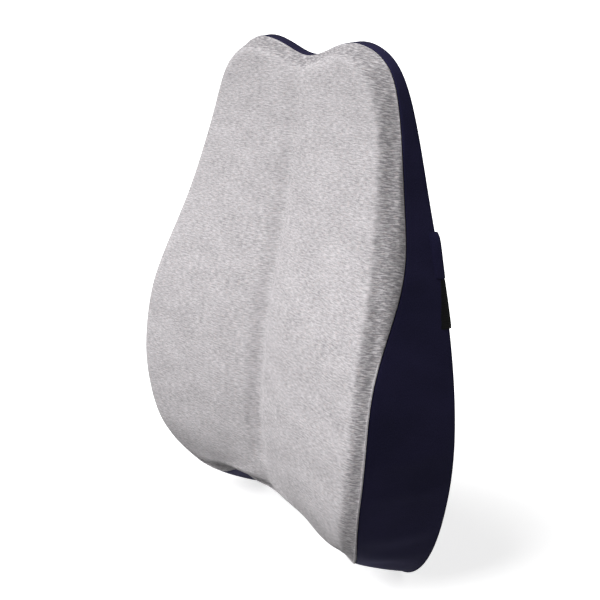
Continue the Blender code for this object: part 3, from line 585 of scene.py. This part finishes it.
band_rows = cover_rows[:BAND_ROWS].copy()
for row, share in enumerate(np.linspace(0.0, 1.0, BAND_ROWS)):
    crown = BAND_CROWN * math.sin(math.pi * share) * np.clip(rim[:, 2] / 0.05, 0.0, 1.0)
    band_rows[row, :, 0] -= inward[:, 0] * crown
    band_rows[row, :, 2] -= inward[:, 1] * crown
near_back = band_rows[0] * 0.96 + band_rows[1] * 0.04
near_seam = band_rows[-1] * 0.92 + band_rows[-2] * 0.08
band_rows = np.concatenate([band_rows[:1], near_back[None], band_rows[1:-1], near_seam[None],
                            band_rows[-1:]])
band_rows = sewn_edge(band_rows, False, SEAM_TUCK * 1.1)
band_rows = sewn_edge(band_rows, True, SEAM_TUCK * 0.4)
band_rows[0, :, 1] -= 0.0006
side_band = mesh_object(
    "cover_side_band", band_rows.reshape(-1, 3), grid_faces(len(band_rows), AROUND, False), navy,
    band_cut(band_rows).reshape(-1, 2))
outward(side_band, cushion_middle)
solid_cloth(side_band, BAND_THICK)
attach(side_band, "root")
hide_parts("cover_side_gusset")


# Back panel. The same navy knit, flat against the chair, with a hemmed slot near the bottom that
# the zip closes.

ZIP_Z = BASE + 0.062
SLOT_HALF = 0.1386
SLOT_HIGH = 0.0125
BACK_THICK = 0.0016
BACK_ROWS = (0.0, 0.012, 0.05, 0.16, 0.30, 0.45, 0.60, 0.74, 0.86, 0.94, 0.985, 1.0)

outline_points = np.column_stack([rim[:, 0], rim[:, 1] + BASE])
away = outline_points - np.array([0.0, ZIP_Z])
angle = np.arctan2(away[:, 1], away[:, 0])
half_slot = np.array([SLOT_HALF, SLOT_HIGH])
slot_reach = np.min(
    half_slot / np.maximum(np.abs(np.column_stack([np.cos(angle), np.sin(angle)])), 1e-6), axis=1)
slot_points = np.array([0.0, ZIP_Z]) + slot_reach[:, None] * np.column_stack(
    [np.cos(angle), np.sin(angle)])
back_rows = []
for share in BACK_ROWS:
    flat_row = outline_points * (1.0 - share) + slot_points * share
    dip = -0.0012 if share == 0.0 else -0.0002 if share < 0.02 else 0.0
    dip = -0.0008 if share == 1.0 else dip
    back_rows.append(np.column_stack([flat_row[:, 0], np.full(AROUND, dip), flat_row[:, 1]]))
back_rows = np.array(back_rows)
back_panel = mesh_object(
    "cover_back", back_rows.reshape(-1, 3), grid_faces(len(back_rows), AROUND, False), navy,
    back_rows[:, :, [0, 2]].reshape(-1, 2))
outward(back_panel, Vector((0.0, -1.0, 0.0)))
solid_cloth(back_panel, BACK_THICK)
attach(back_panel, "root")
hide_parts("cover_back_panel")


# Foam core. One moulded block of cream memory foam, a little smaller than its cover on all sides.

FOAM_INSET = 0.0032
FOAM_STRIDE = 3            # the foam takes every third point of the cover's rows
foam = new_material("memory_foam", (0.86, 0.80, 0.66), 0.95)
pores = add_node(
    foam, "ShaderNodeTexVoronoi",
    {"Vector": add_node(foam, "ShaderNodeTexCoord", {}).outputs["Object"], "Scale": 700.0})
# Painted shade: the pits of the foam's cells are coloured darker.
join(foam, blend_colours(foam, levels(foam, pores.outputs[0], 0.0, 0.5, 1.0, 0.0),
                         (0.86, 0.80, 0.66, 1.0), (0.70, 0.63, 0.48, 1.0)), "Base Color")
foam_relief = add_node(
    foam, "ShaderNodeBump", {"Height": pores.outputs[0], "Strength": 0.5, "Distance": 0.0006})
join(foam, foam_relief.outputs[0], "Normal")
foam_count = AROUND // FOAM_STRIDE
foam_rows = cover_rows[:, ::FOAM_STRIDE].copy()
foam_inward = inward[::FOAM_STRIDE]
reach_by_row = np.ones(len(foam_rows))
reach_by_row[SEAM_ROW + ROLL_ROWS:] = np.linspace(1.0, 0.0, FACE_ROWS + 1)
foam_rows[:, :, 0] += foam_inward[:, 0] * reach_by_row[:, None] * FOAM_INSET
foam_rows[:, :, 2] += foam_inward[:, 1] * reach_by_row[:, None] * FOAM_INSET
foam_rows[:, :, 1] *= 1.0 - 2.2 * FOAM_INSET / DEPTH
foam_rows[:, :, 1] = np.minimum(foam_rows[:, :, 1] + FOAM_INSET * 0.6, -FOAM_INSET)
foam_faces = grid_faces(len(foam_rows), foam_count, True)
foam_faces.append(tuple(range(foam_count)))
foam_block = mesh_object("foam_block", foam_rows.reshape(-1, 3), foam_faces, foam)
outward(foam_block, cushion_middle)
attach(foam_block, "root")
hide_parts("foam_core")


# Strap tabs. A folded loop of the navy knit is sewn into each side seam just above the strap, and
# stands a few millimetres proud of the edge.

STRAP_TOP = 0.271          # above the base
TAB_LENGTH = 0.036
TAB_SECTION = (
    (-0.0010, -0.0084), (0.0004, -0.0072), (0.0018, -0.0046), (0.0030, -0.0022), (0.0038, 0.0000),
    (0.0036, 0.0014), (0.0016, 0.0018), (-0.0004, 0.0016), (-0.0014, 0.0004), (-0.0016, -0.0040))


def tube_faces(count, around):
    """Quads between rows of points, with both ends closed."""
    faces = grid_faces(count, around, False)
    faces.append(tuple(range(around)))
    faces.append(tuple(range((count - 1) * around, count * around)))
    return faces


def turn_faces_out(item):
    """Turn the faces of closed pieces outward."""
    shape = bmesh.new()
    shape.from_mesh(item.data)
    bmesh.ops.recalc_face_normals(shape, faces=shape.faces)
    shape.to_mesh(item.data)
    shape.free()


def edge_strip(name, heights, reaches, section, side, material):
    """A strip along one side's edge: a section (x outside the edge, y) and its reach by height."""
    points = []
    cut_places = []
    section = np.asarray(section)
    lengths = np.linalg.norm(np.roll(section, -1, 0) - section, axis=1)
    around = np.concatenate([[0.0], np.cumsum(lengths)[:-1]])
    for z, reach in zip(heights, reaches):
        edge = float(half_width(z))
        for (x, y), along in zip(section, around):
            points.append((side * (edge + (x * reach if x > 0.0 else x)), y, z + BASE))
            cut_places.append((along, z))
    faces = tube_faces(len(heights), len(section))
    strip = mesh_object(name, points, faces, material, cut_places)
    turn_faces_out(strip)
    return strip


def rounded_off(item, render_levels):
    smooth = item.modifiers.new("rounding", "SUBSURF")
    smooth.levels = render_levels
    smooth.render_levels = render_levels


tab_heights = STRAP_TOP + 0.0003 + TAB_LENGTH * np.array(
    [0.0, 0.03, 0.12, 0.25, 0.40, 0.55, 0.70, 0.80, 0.88, 0.94, 0.98, 1.0])
tab_reaches = (0.20, 0.26, 0.34, 0.48, 0.64, 0.80, 0.94, 1.0, 0.95, 0.72, 0.35, 0.10)
for side, word in ((1, "right"), (-1, "left")):
    tab = edge_strip(f"tab_{word}", tab_heights, tab_reaches, TAB_SECTION, side, navy)
    rounded_off(tab, 1)
    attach(tab, "root")
    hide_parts(f"strap_tab_{word}")


# Chair strap. Black woven elastic 38 mm wide, sewn flat onto the side band's back edge and led
# round behind the cushion. The right part is folded round the socket's bar and sewn back to
# itself; the left part runs under the adjuster to the plug's bar and back.

STRAP_HALF = 0.019
STRAP_THICK = 0.0015
STRAP_Z = BASE + STRAP_TOP - STRAP_HALF
STRAP_STAND = 0.0165
STRAP_LEAD = 0.046
WRAP_RADIUS = 0.00305
BAR_Y = STRAP_STAND + WRAP_RADIUS
SOCKET_BAR_X = 0.0218
PLUG_BAR_X = -0.0394
ADJUSTER_X = -0.115
FOLD_Y = STRAP_STAND + 0.0022
LOOP_Y = FOLD_Y + WRAP_RADIUS

elastic = new_material("woven_elastic", (0.004, 0.004, 0.005), 0.8, Specular_IOR_Level=0.12)
cut = add_node(elastic, "ShaderNodeTexCoord", {}).outputs["UV"]
cross_ribs = add_node(
    elastic, "ShaderNodeTexWave", {"Vector": cut, "Scale": 290.0, "Distortion": 0.0},
    bands_direction="X")
long_ribs = add_node(
    elastic, "ShaderNodeTexWave", {"Vector": cut, "Scale": 170.0, "Distortion": 0.0},
    bands_direction="Y")
fuzz = stretched_noise(elastic, cut, (700.0, 1500.0, 1.0), 2.0, 0.5)
weave = add_node(
    elastic, "ShaderNodeMath", {0: cross_ribs.outputs["Fac"], 1: long_ribs.outputs["Fac"]},
    operation="MULTIPLY")
weave_share = add_node(
    elastic, "ShaderNodeMath",
    {0: weave.outputs[0], 1: levels(elastic, fuzz.outputs[0], 0.3, 0.7, -0.3, 0.4)},
    operation="ADD", use_clamp=True)
join(elastic, blend_colours(elastic, weave_share.outputs[0], (0.0015, 0.0015, 0.0018, 1.0),
                            (0.009, 0.009, 0.010, 1.0)), "Base Color")
elastic_relief = add_node(
    elastic, "ShaderNodeBump", {"Height": weave.outputs[0], "Strength": 0.6, "Distance": 0.0003})
join(elastic, elastic_relief.outputs[0], "Normal")


def smooth_path(points, spacing):
    """Points along a smooth curve through the given ones."""
    points = np.asarray(points, dtype=float)
    ends = np.vstack([2.0 * points[0] - points[1], points, 2.0 * points[-1] - points[-2]])
    path = [points[0]]
    for i in range(1, len(ends) - 2):
        before, start, end, after = ends[i - 1:i + 3]
        count = max(2, int(np.linalg.norm(end[:2] - start[:2]) / spacing))
        for step in range(1, count + 1):
            t = step / count
            path.append(0.5 * (2.0 * start + (end - before) * t
                               + (2.0 * before - 5.0 * start + 4.0 * end - after) * t ** 2
                               + (3.0 * start - before - 3.0 * end + after) * t ** 3))
    return np.array(path)


def webbing(name, points, side):
    """Flat elastic along a path of (x, y, lean), where lean slants its upper edge along y."""
    path = smooth_path(points, 0.004)
    ahead = np.gradient(path[:, :2], axis=0)
    ahead /= np.linalg.norm(ahead, axis=1)[:, None]
    across = np.column_stack([-ahead[:, 1], ahead[:, 0]])
    step = np.linalg.norm(np.diff(path[:, :2], axis=0), axis=1)
    along = np.concatenate([[0.0], np.cumsum(step)])
    widths = np.array([-1.0, -0.985, -0.9, -0.6, -0.3, 0.0, 0.3, 0.6, 0.9, 0.985, 1.0])
    half = STRAP_THICK / 2.0 * np.array([0.3, 0.8, 1.0, 1.0, 1.0, 1.0, 1.0, 1.0, 1.0, 0.8, 0.3])
    ring_w = np.concatenate([widths, widths[::-1]])
    ring_h = np.concatenate([half, -half[::-1]])
    middle_width = float(half_width(STRAP_Z - BASE))
    places = []
    cut_places = []
    for point, normal, length in zip(path, across, along):
        z = STRAP_Z + ring_w * STRAP_HALF
        x = point[0] + normal[0] * ring_h
        if side:
            near = np.clip(1.0 - (middle_width - side * x) / STRAP_LEAD, 0.0, 1.0)
            x = x + side * near * (half_width(z - BASE) - middle_width)
        y = point[1] + normal[1] * ring_h + point[2] * ring_w
        places.append(np.column_stack([x, y, z]))
        cut_places.append(np.column_stack([np.full(len(ring_w), length), ring_w * STRAP_HALF]))
    faces = tube_faces(len(places), len(ring_w))
    strap = mesh_object(name, np.vstack(places), faces, elastic, np.vstack(cut_places))
    turn_faces_out(strap)
    strap.data.set_sharp_from_angle(angle=math.radians(50.0))
    return strap


def strap_root(side):
    """From the slanted seam on the side band round the edge to the straight stretch."""
    edge = float(half_width(STRAP_Z - BASE))
    lead = [(edge - 0.0009, -0.0056, 0.0034), (edge - 0.0004, -0.0046, 0.0032),
            (edge - 0.0001, -0.0024, 0.0018), (edge - 0.0001, -0.0004, 0.0),
            (edge - 0.0007, 0.0010, 0.0), (edge - 0.0040, 0.0026, 0.0),
            (edge - 0.0120, 0.0062, 0.0), (edge - 0.0215, 0.0106, 0.0),
            (edge - 0.0345, 0.0150, 0.0), (edge - STRAP_LEAD, STRAP_STAND, 0.0),
            (edge - STRAP_LEAD - 0.010, STRAP_STAND, 0.0)]
    return [(side * x, y, lean) for x, y, lean in lead]


def round_bar(x, y, side):
    """Half a turn round a bar, from the cushion's side to the chair's side."""
    turns = np.linspace(-math.pi / 2.0, math.pi / 2.0, 9)
    return [(x - side * WRAP_RADIUS * math.cos(turn), y + WRAP_RADIUS * math.sin(turn), 0.0)
            for turn in turns]


right_path = strap_root(1)
right_path += [(SOCKET_BAR_X + 0.030, STRAP_STAND, 0.0), (SOCKET_BAR_X + 0.004, STRAP_STAND, 0.0)]
right_path += round_bar(SOCKET_BAR_X, BAR_Y, 1)
right_path += [(SOCKET_BAR_X + 0.003, BAR_Y + WRAP_RADIUS - 0.0001, 0.0),
               (SOCKET_BAR_X + 0.012, FOLD_Y, 0.0), (SOCKET_BAR_X + 0.016, FOLD_Y, 0.0),
               (SOCKET_BAR_X + 0.042, FOLD_Y, 0.0)]
strap_right = webbing("strap_right_elastic", right_path, 1)
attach(strap_right, "root")
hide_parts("strap_right")

left_path = strap_root(-1)
left_path += [(PLUG_BAR_X - 0.030, STRAP_STAND, 0.0), (PLUG_BAR_X - 0.004, STRAP_STAND, 0.0)]
left_path += round_bar(PLUG_BAR_X, BAR_Y, -1)
left_path += [(PLUG_BAR_X - 0.003, BAR_Y + WRAP_RADIUS - 0.0001, 0.0),
              (PLUG_BAR_X - 0.012, FOLD_Y + 0.0016, 0.0), (PLUG_BAR_X - 0.016, FOLD_Y + 0.0016, 0.0),
              (PLUG_BAR_X - 0.039, FOLD_Y + 0.0016, 0.0)]
strap_left = webbing("strap_left_elastic", left_path, -1)
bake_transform(strap_left)
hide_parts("strap_left")

loop_path = [(ADJUSTER_X + 0.0375, FOLD_Y - 0.0002, 0.0), (ADJUSTER_X + 0.032, FOLD_Y - 0.0002, 0.0),
             (ADJUSTER_X + 0.014, FOLD_Y, 0.0), (ADJUSTER_X + 0.004, FOLD_Y, 0.0)]
loop_turns = np.linspace(-math.pi / 2.0, -math.pi * 1.5, 9)
loop_path += [(ADJUSTER_X + WRAP_RADIUS * math.cos(turn), LOOP_Y + WRAP_RADIUS * math.sin(turn), 0.0)
              for turn in loop_turns]
loop_path += [(ADJUSTER_X + 0.004, LOOP_Y + WRAP_RADIUS, 0.0),
              (ADJUSTER_X + 0.024, LOOP_Y + WRAP_RADIUS, 0.0)]
strap_loop = webbing("strap_loop_elastic", loop_path, 0)
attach(strap_loop, "adjuster")


# Stitching. Black polyester thread holds the fold round the socket's bar and the hem round the
# zip's slot, in short straight stitches.

THREAD_RADIUS = 0.00028
BOX_START = 0.016          # the box stitch, from the socket's bar
BOX_END = 0.040
BOX_HALF = 0.015
HEM_MARGIN = 0.004
thread = new_material("polyester_thread", (0.022, 0.021, 0.028), 0.55)
twist = add_node(
    thread, "ShaderNodeTexWave",
    {"Vector": add_node(thread, "ShaderNodeTexCoord", {}).outputs["Object"], "Scale": 900.0,
     "Distortion": 1.0}, bands_direction="DIAGONAL")
thread_relief = add_node(
    thread, "ShaderNodeBump", {"Height": twist.outputs["Fac"], "Strength": 0.5, "Distance": 0.0001})
join(thread, thread_relief.outputs[0], "Normal")
THREAD_LIGHT = (0.045, 0.043, 0.060, 1.0)
join(thread, blend_colours(thread, twist.outputs["Fac"], (0.014, 0.013, 0.020, 1.0), THREAD_LIGHT),
     "Base Color")


def stitching(name, lines, surface_normal, pitch=0.0032, share=0.72):
    """Stitches along straight lines, each a short thread that dips into the cloth at both ends."""
    normal = Vector(surface_normal)
    points = []
    faces = []
    for start, end in lines:
        start = Vector(start)
        end = Vector(end)
        count = max(1, round((end - start).length / pitch))
        ahead = (end - start) / count
        side = ahead.cross(normal).normalized() * THREAD_RADIUS
        for i in range(count):
            first = len(points)
            for place, lift in ((0.0, -0.4), (0.25, 0.7), (share - 0.25, 0.7), (share, -0.4)):
                centre = start + ahead * (i + place) + normal * THREAD_RADIUS * lift
                for turn in (0.0, 1.0, 2.0, 3.0):
                    angle = math.pi / 2.0 * turn
                    points.append(centre + side * math.cos(angle)
                                  + normal * THREAD_RADIUS * math.sin(angle))
            for ring in range(3):
                for corner in range(4):
                    following = (corner + 1) % 4
                    faces.append((first + ring * 4 + corner, first + ring * 4 + following,
                                  first + ring * 4 + 4 + following, first + ring * 4 + 4 + corner))
            faces.append((first, first + 1, first + 2, first + 3))
            faces.append((first + 12, first + 13, first + 14, first + 15))
    sewn = mesh_object(name, points, faces, thread)
    turn_faces_out(sewn)
    return sewn


def loop_lines(low_x, high_x, y, low_z, high_z, crossed):
    """The four sides of a rectangle, and its diagonals if it is crossed."""
    corners = [(low_x, y, low_z), (high_x, y, low_z), (high_x, y, high_z), (low_x, y, high_z)]
    lines = list(zip(corners, corners[1:] + corners[:1]))
    if crossed:
        lines += [(corners[0], corners[2]), (corners[1], corners[3])]
    return lines


box_stitch = stitching(
    "box_stitch_socket",
    loop_lines(SOCKET_BAR_X + BOX_START, SOCKET_BAR_X + BOX_END, FOLD_Y + STRAP_THICK / 2.0,
               STRAP_Z - BOX_HALF, STRAP_Z + BOX_HALF, True), (0.0, 1.0, 0.0))
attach(box_stitch, "root")
hem_stitch = stitching(
    "zip_hem_stitch",
    loop_lines(-SLOT_HALF - HEM_MARGIN, SLOT_HALF + HEM_MARGIN, 0.0001,
               ZIP_Z - SLOT_HIGH - HEM_MARGIN, ZIP_Z + SLOT_HIGH + HEM_MARGIN, False),
    (0.0, 1.0, 0.0))
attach(hem_stitch, "root")


# Side-release buckle. Moulded black nylon in three kinds of piece: a flat socket, a plug with its
# tongue, and the two sprung arms that latch in the socket's side windows.

plastic = new_material("moulded_nylon", (0.008, 0.008, 0.009), 0.42, Specular_IOR_Level=0.35)
place = add_node(plastic, "ShaderNodeTexCoord", {}).outputs["Object"]
spark = stretched_noise(plastic, place, (1800.0, 1800.0, 1800.0), 2.0, 0.5)
wear = stretched_noise(plastic, place, (60.0, 60.0, 60.0), 3.0, 0.6)
join(plastic, levels(plastic, wear.outputs[0], 0.3, 0.7, 0.36, 0.52), "Roughness")
join(plastic, blend_colours(plastic, wear.outputs[0], (0.006, 0.006, 0.007, 1.0),
                            (0.012, 0.012, 0.013, 1.0)), "Base Color")
grain = add_node(
    plastic, "ShaderNodeBump", {"Height": spark.outputs[0], "Strength": 0.25, "Distance": 0.0001})
join(plastic, grain.outputs[0], "Normal")


def moulded_piece(name, node, edge, material, body):
    """The hard piece of a node with its corners rounded off as a mould leaves them."""
    item = bpy.data.objects.new(name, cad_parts[node].data.copy())
    scene.collection.objects.link(item)
    item.data.materials.clear()
    item.data.materials.append(material)
    shape = bmesh.new()
    shape.from_mesh(item.data)
    bmesh.ops.remove_doubles(shape, verts=shape.verts, dist=0.00001)
    bmesh.ops.dissolve_limit(
        shape, angle_limit=math.radians(1.0), verts=shape.verts, edges=shape.edges)
    shape.to_mesh(item.data)
    shape.free()
    bpy.ops.object.select_all(action="DESELECT")
    bpy.context.view_layer.objects.active = item
    item.select_set(True)
    softened = item.modifiers.new("mould_edge", "BEVEL")
    softened.width = edge
    softened.segments = 2
    softened.limit_method = "ANGLE"
    softened.angle_limit = math.radians(40.0)
    bpy.ops.object.modifier_apply(modifier="mould_edge")
    bpy.ops.object.shade_smooth_by_angle(angle=math.radians(38.0))
    item.select_set(False)
    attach(item, body)
    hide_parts(node)
    return item


moulded_piece("socket", "buckle_socket", 0.0004, plastic, "root")
moulded_piece("plug", "buckle_plug", 0.0004, plastic, "plug")
moulded_piece("arm_upper", "buckle_arm_upper", 0.0005, plastic, "arm_upper")
moulded_piece("arm_lower", "buckle_arm_lower", 0.0005, plastic, "arm_lower")

# Raised ribs on the socket's outer face, where the thumb holds it
RIB_COUNT = 4
RIB_PITCH = 0.0042
RIB_SIZE = (0.0016, 0.0010, 0.020)
FIRST_RIB_X = -0.001
RIB_Y = 0.0223

for i in range(RIB_COUNT):
    bpy.ops.object.select_all(action="DESELECT")
    bpy.ops.mesh.primitive_cube_add(
        size=1.0, location=(FIRST_RIB_X + RIB_PITCH * i, RIB_Y, STRAP_Z))
    rib = bpy.context.object
    rib.name = f"socket_rib_{i + 1}"
    rib.scale = RIB_SIZE
    bpy.ops.object.transform_apply(location=True, rotation=True, scale=True)
    rounding_edge = rib.modifiers.new("rounding", "BEVEL")
    rounding_edge.width = 0.00045
    rounding_edge.segments = 3
    bpy.ops.object.modifier_apply(modifier="rounding")
    bpy.ops.object.shade_smooth_by_angle(angle=math.radians(40.0))
    rib.data.materials.append(plastic)
    rib.select_set(False)
    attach(rib, "root")


# Strap adjuster. The same nylon: two end rails and three bars that pinch the strap.

moulded_piece("adjuster", "strap_adjuster", 0.0005, plastic, "adjuster")


# Zip. Two woven tapes are sewn behind the slot's hems, each with a nylon coil along its edge. A
# black enamelled slider with a pull runs between two stops.

TAPE_HALF = 0.138
TAPE_Y = -0.0011
COIL_PITCH = 0.0013
COIL_RADIUS = 0.00098
COIL_THREAD = 0.00026
COIL_Y = 0.00075
COIL_OFF_MIDDLE = 0.00125
COIL_MARGIN = 0.0035       # from the tape's end to the coil's
TAPE_SECTION = (           # away from the zip's middle, towards the chair
    (0.0004, -0.00035), (0.0004, 0.0001), (0.0016, 0.00025), (0.0024, 0.0001), (0.0060, 0.00008),
    (0.0118, 0.00008), (0.0122, 0.0), (0.0122, -0.0003), (0.0118, -0.00035), (0.0060, -0.00035))

tape_cloth = new_material("zip_tape_cloth", (0.012, 0.010, 0.026), 0.85)
place = add_node(tape_cloth, "ShaderNodeTexCoord", {}).outputs["Object"]
twill = add_node(
    tape_cloth, "ShaderNodeTexWave", {"Vector": place, "Scale": 420.0, "Distortion": 0.0},
    bands_direction="DIAGONAL")
rows_across = stretched_noise(tape_cloth, place, (1400.0, 300.0, 500.0), 2.0, 0.5)
join(tape_cloth, blend_colours(tape_cloth, twill.outputs["Fac"], (0.008, 0.007, 0.020, 1.0),
                               (0.020, 0.018, 0.040, 1.0)), "Base Color")
tape_height = add_node(
    tape_cloth, "ShaderNodeMath", {0: twill.outputs["Fac"], 1: rows_across.outputs[0]},
    operation="ADD")
tape_relief = add_node(
    tape_cloth, "ShaderNodeBump",
    {"Height": tape_height.outputs[0], "Strength": 0.5, "Distance": 0.0002})
join(tape_cloth, tape_relief.outputs[0], "Normal")

nylon_coil = new_material("nylon_coil", (0.018, 0.017, 0.032), 0.4)
coil_noise = stretched_noise(
    nylon_coil, add_node(nylon_coil, "ShaderNodeTexCoord", {}).outputs["Object"],
    (500.0, 500.0, 500.0))
join(nylon_coil, levels(nylon_coil, coil_noise.outputs[0], 0.3, 0.7, 0.32, 0.5), "Roughness")

for sign, word in ((1, "upper"), (-1, "lower")):
    stations = np.linspace(-TAPE_HALF, TAPE_HALF, 47)
    ring = np.array(TAPE_SECTION)
    points = np.array([(x, TAPE_Y + y, ZIP_Z + sign * z) for x in stations for z, y in ring])
    tape = mesh_object(f"tape_{word}", points, tube_faces(len(stations), len(ring)), tape_cloth)
    turn_faces_out(tape)
    tape.data.set_sharp_from_angle(angle=math.radians(50.0))
    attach(tape, "root")
    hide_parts(f"zip_tape_{word}")

    bpy.ops.object.select_all(action="DESELECT")
    bpy.ops.mesh.primitive_circle_add(vertices=6, radius=COIL_THREAD, location=(COIL_RADIUS, 0, 0),
                                      rotation=(math.pi / 2.0, 0.0, 0.0))
    coil = bpy.context.object
    coil.name = f"coil_{word}"
    bpy.ops.object.transform_apply(location=True, rotation=True, scale=True)
    winding = coil.modifiers.new("winding", "SCREW")
    winding.axis = "Z"
    winding.angle = math.tau
    winding.steps = 8
    winding.render_steps = 8
    winding.screw_offset = COIL_PITCH
    winding.iterations = int(2.0 * (TAPE_HALF - COIL_MARGIN) / COIL_PITCH)
    bpy.ops.object.modifier_apply(modifier="winding")
    coil.rotation_euler = (0.0, math.pi / 2.0, 0.0 if sign > 0 else math.pi)
    coil.location = (sign * (COIL_MARGIN - TAPE_HALF), COIL_Y, ZIP_Z + sign * COIL_OFF_MIDDLE)
    bpy.ops.object.transform_apply(location=True, rotation=True, scale=True)
    bpy.ops.object.mode_set(mode="EDIT")
    bpy.ops.mesh.select_all(action="SELECT")
    bpy.ops.mesh.remove_doubles(threshold=0.000005)
    bpy.ops.mesh.select_all(action="DESELECT")
    bpy.ops.mesh.select_non_manifold()
    bpy.ops.mesh.edge_face_add()
    bpy.ops.mesh.select_all(action="SELECT")
    bpy.ops.mesh.normals_make_consistent(inside=False)
    bpy.ops.object.mode_set(mode="OBJECT")
    bpy.ops.object.shade_smooth()
    coil.data.materials.append(nylon_coil)
    coil.select_set(False)
    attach(coil, "root")
    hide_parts(f"zip_coil_{word}")

enamel = new_material("black_enamel", (0.05, 0.05, 0.054), 0.35, Metallic=0.85)
scuffs = stretched_noise(
    enamel, add_node(enamel, "ShaderNodeTexCoord", {}).outputs["Object"], (400.0, 400.0, 400.0))
join(enamel, levels(enamel, scuffs.outputs[0], 0.3, 0.7, 0.28, 0.45), "Roughness")
moulded_piece("slider", "zip_slider", 0.0002, enamel, "slider")
moulded_piece("pull", "zip_pull", 0.0003, enamel, "pull")
moulded_piece("stop_closed", "zip_stop_closed", 0.0002, enamel, "root")
moulded_piece("stop_open", "zip_stop_open", 0.0002, enamel, "root")


# Care label. A blank satin ribbon, sewn by its back edge into the left side's back seam and lying
# forward on the side band.

LABEL_MIDDLE = 0.163
LABEL_LONG = 0.046
LABEL_REACH = 0.034
LABEL_BACK = -0.0028
LABEL_THICK = 0.0004
satin = new_material("label_satin", (0.80, 0.80, 0.77), 0.45, Sheen_Weight=0.1)
cut = add_node(satin, "ShaderNodeTexCoord", {}).outputs["UV"]
satin_rows = add_node(
    satin, "ShaderNodeTexWave", {"Vector": cut, "Scale": 600.0, "Distortion": 0.6},
    bands_direction="X")
join(satin, blend_colours(satin, satin_rows.outputs["Fac"], (0.74, 0.74, 0.71, 1.0),
                          (0.84, 0.84, 0.81, 1.0)), "Base Color")
satin_relief = add_node(
    satin, "ShaderNodeBump", {"Height": satin_rows.outputs["Fac"], "Strength": 0.3,
                              "Distance": 0.0001})
join(satin, satin_relief.outputs[0], "Normal")
front_edge = LABEL_BACK - LABEL_REACH
label_line = [(0.0012, LABEL_BACK), (0.0016, LABEL_BACK - 0.004), (0.0021, LABEL_BACK - 0.012),
              (0.0024, LABEL_BACK - 0.022), (0.0024, front_edge + 0.004), (0.0022, front_edge)]
label_section = [(x + LABEL_THICK, y) for x, y in label_line] + label_line[::-1]
label_heights = LABEL_MIDDLE + LABEL_LONG * np.linspace(-0.5, 0.5, 13)
label = edge_strip("label", label_heights, [1.0] * 13, label_section, -1, satin)
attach(label, "root")
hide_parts("care_label")
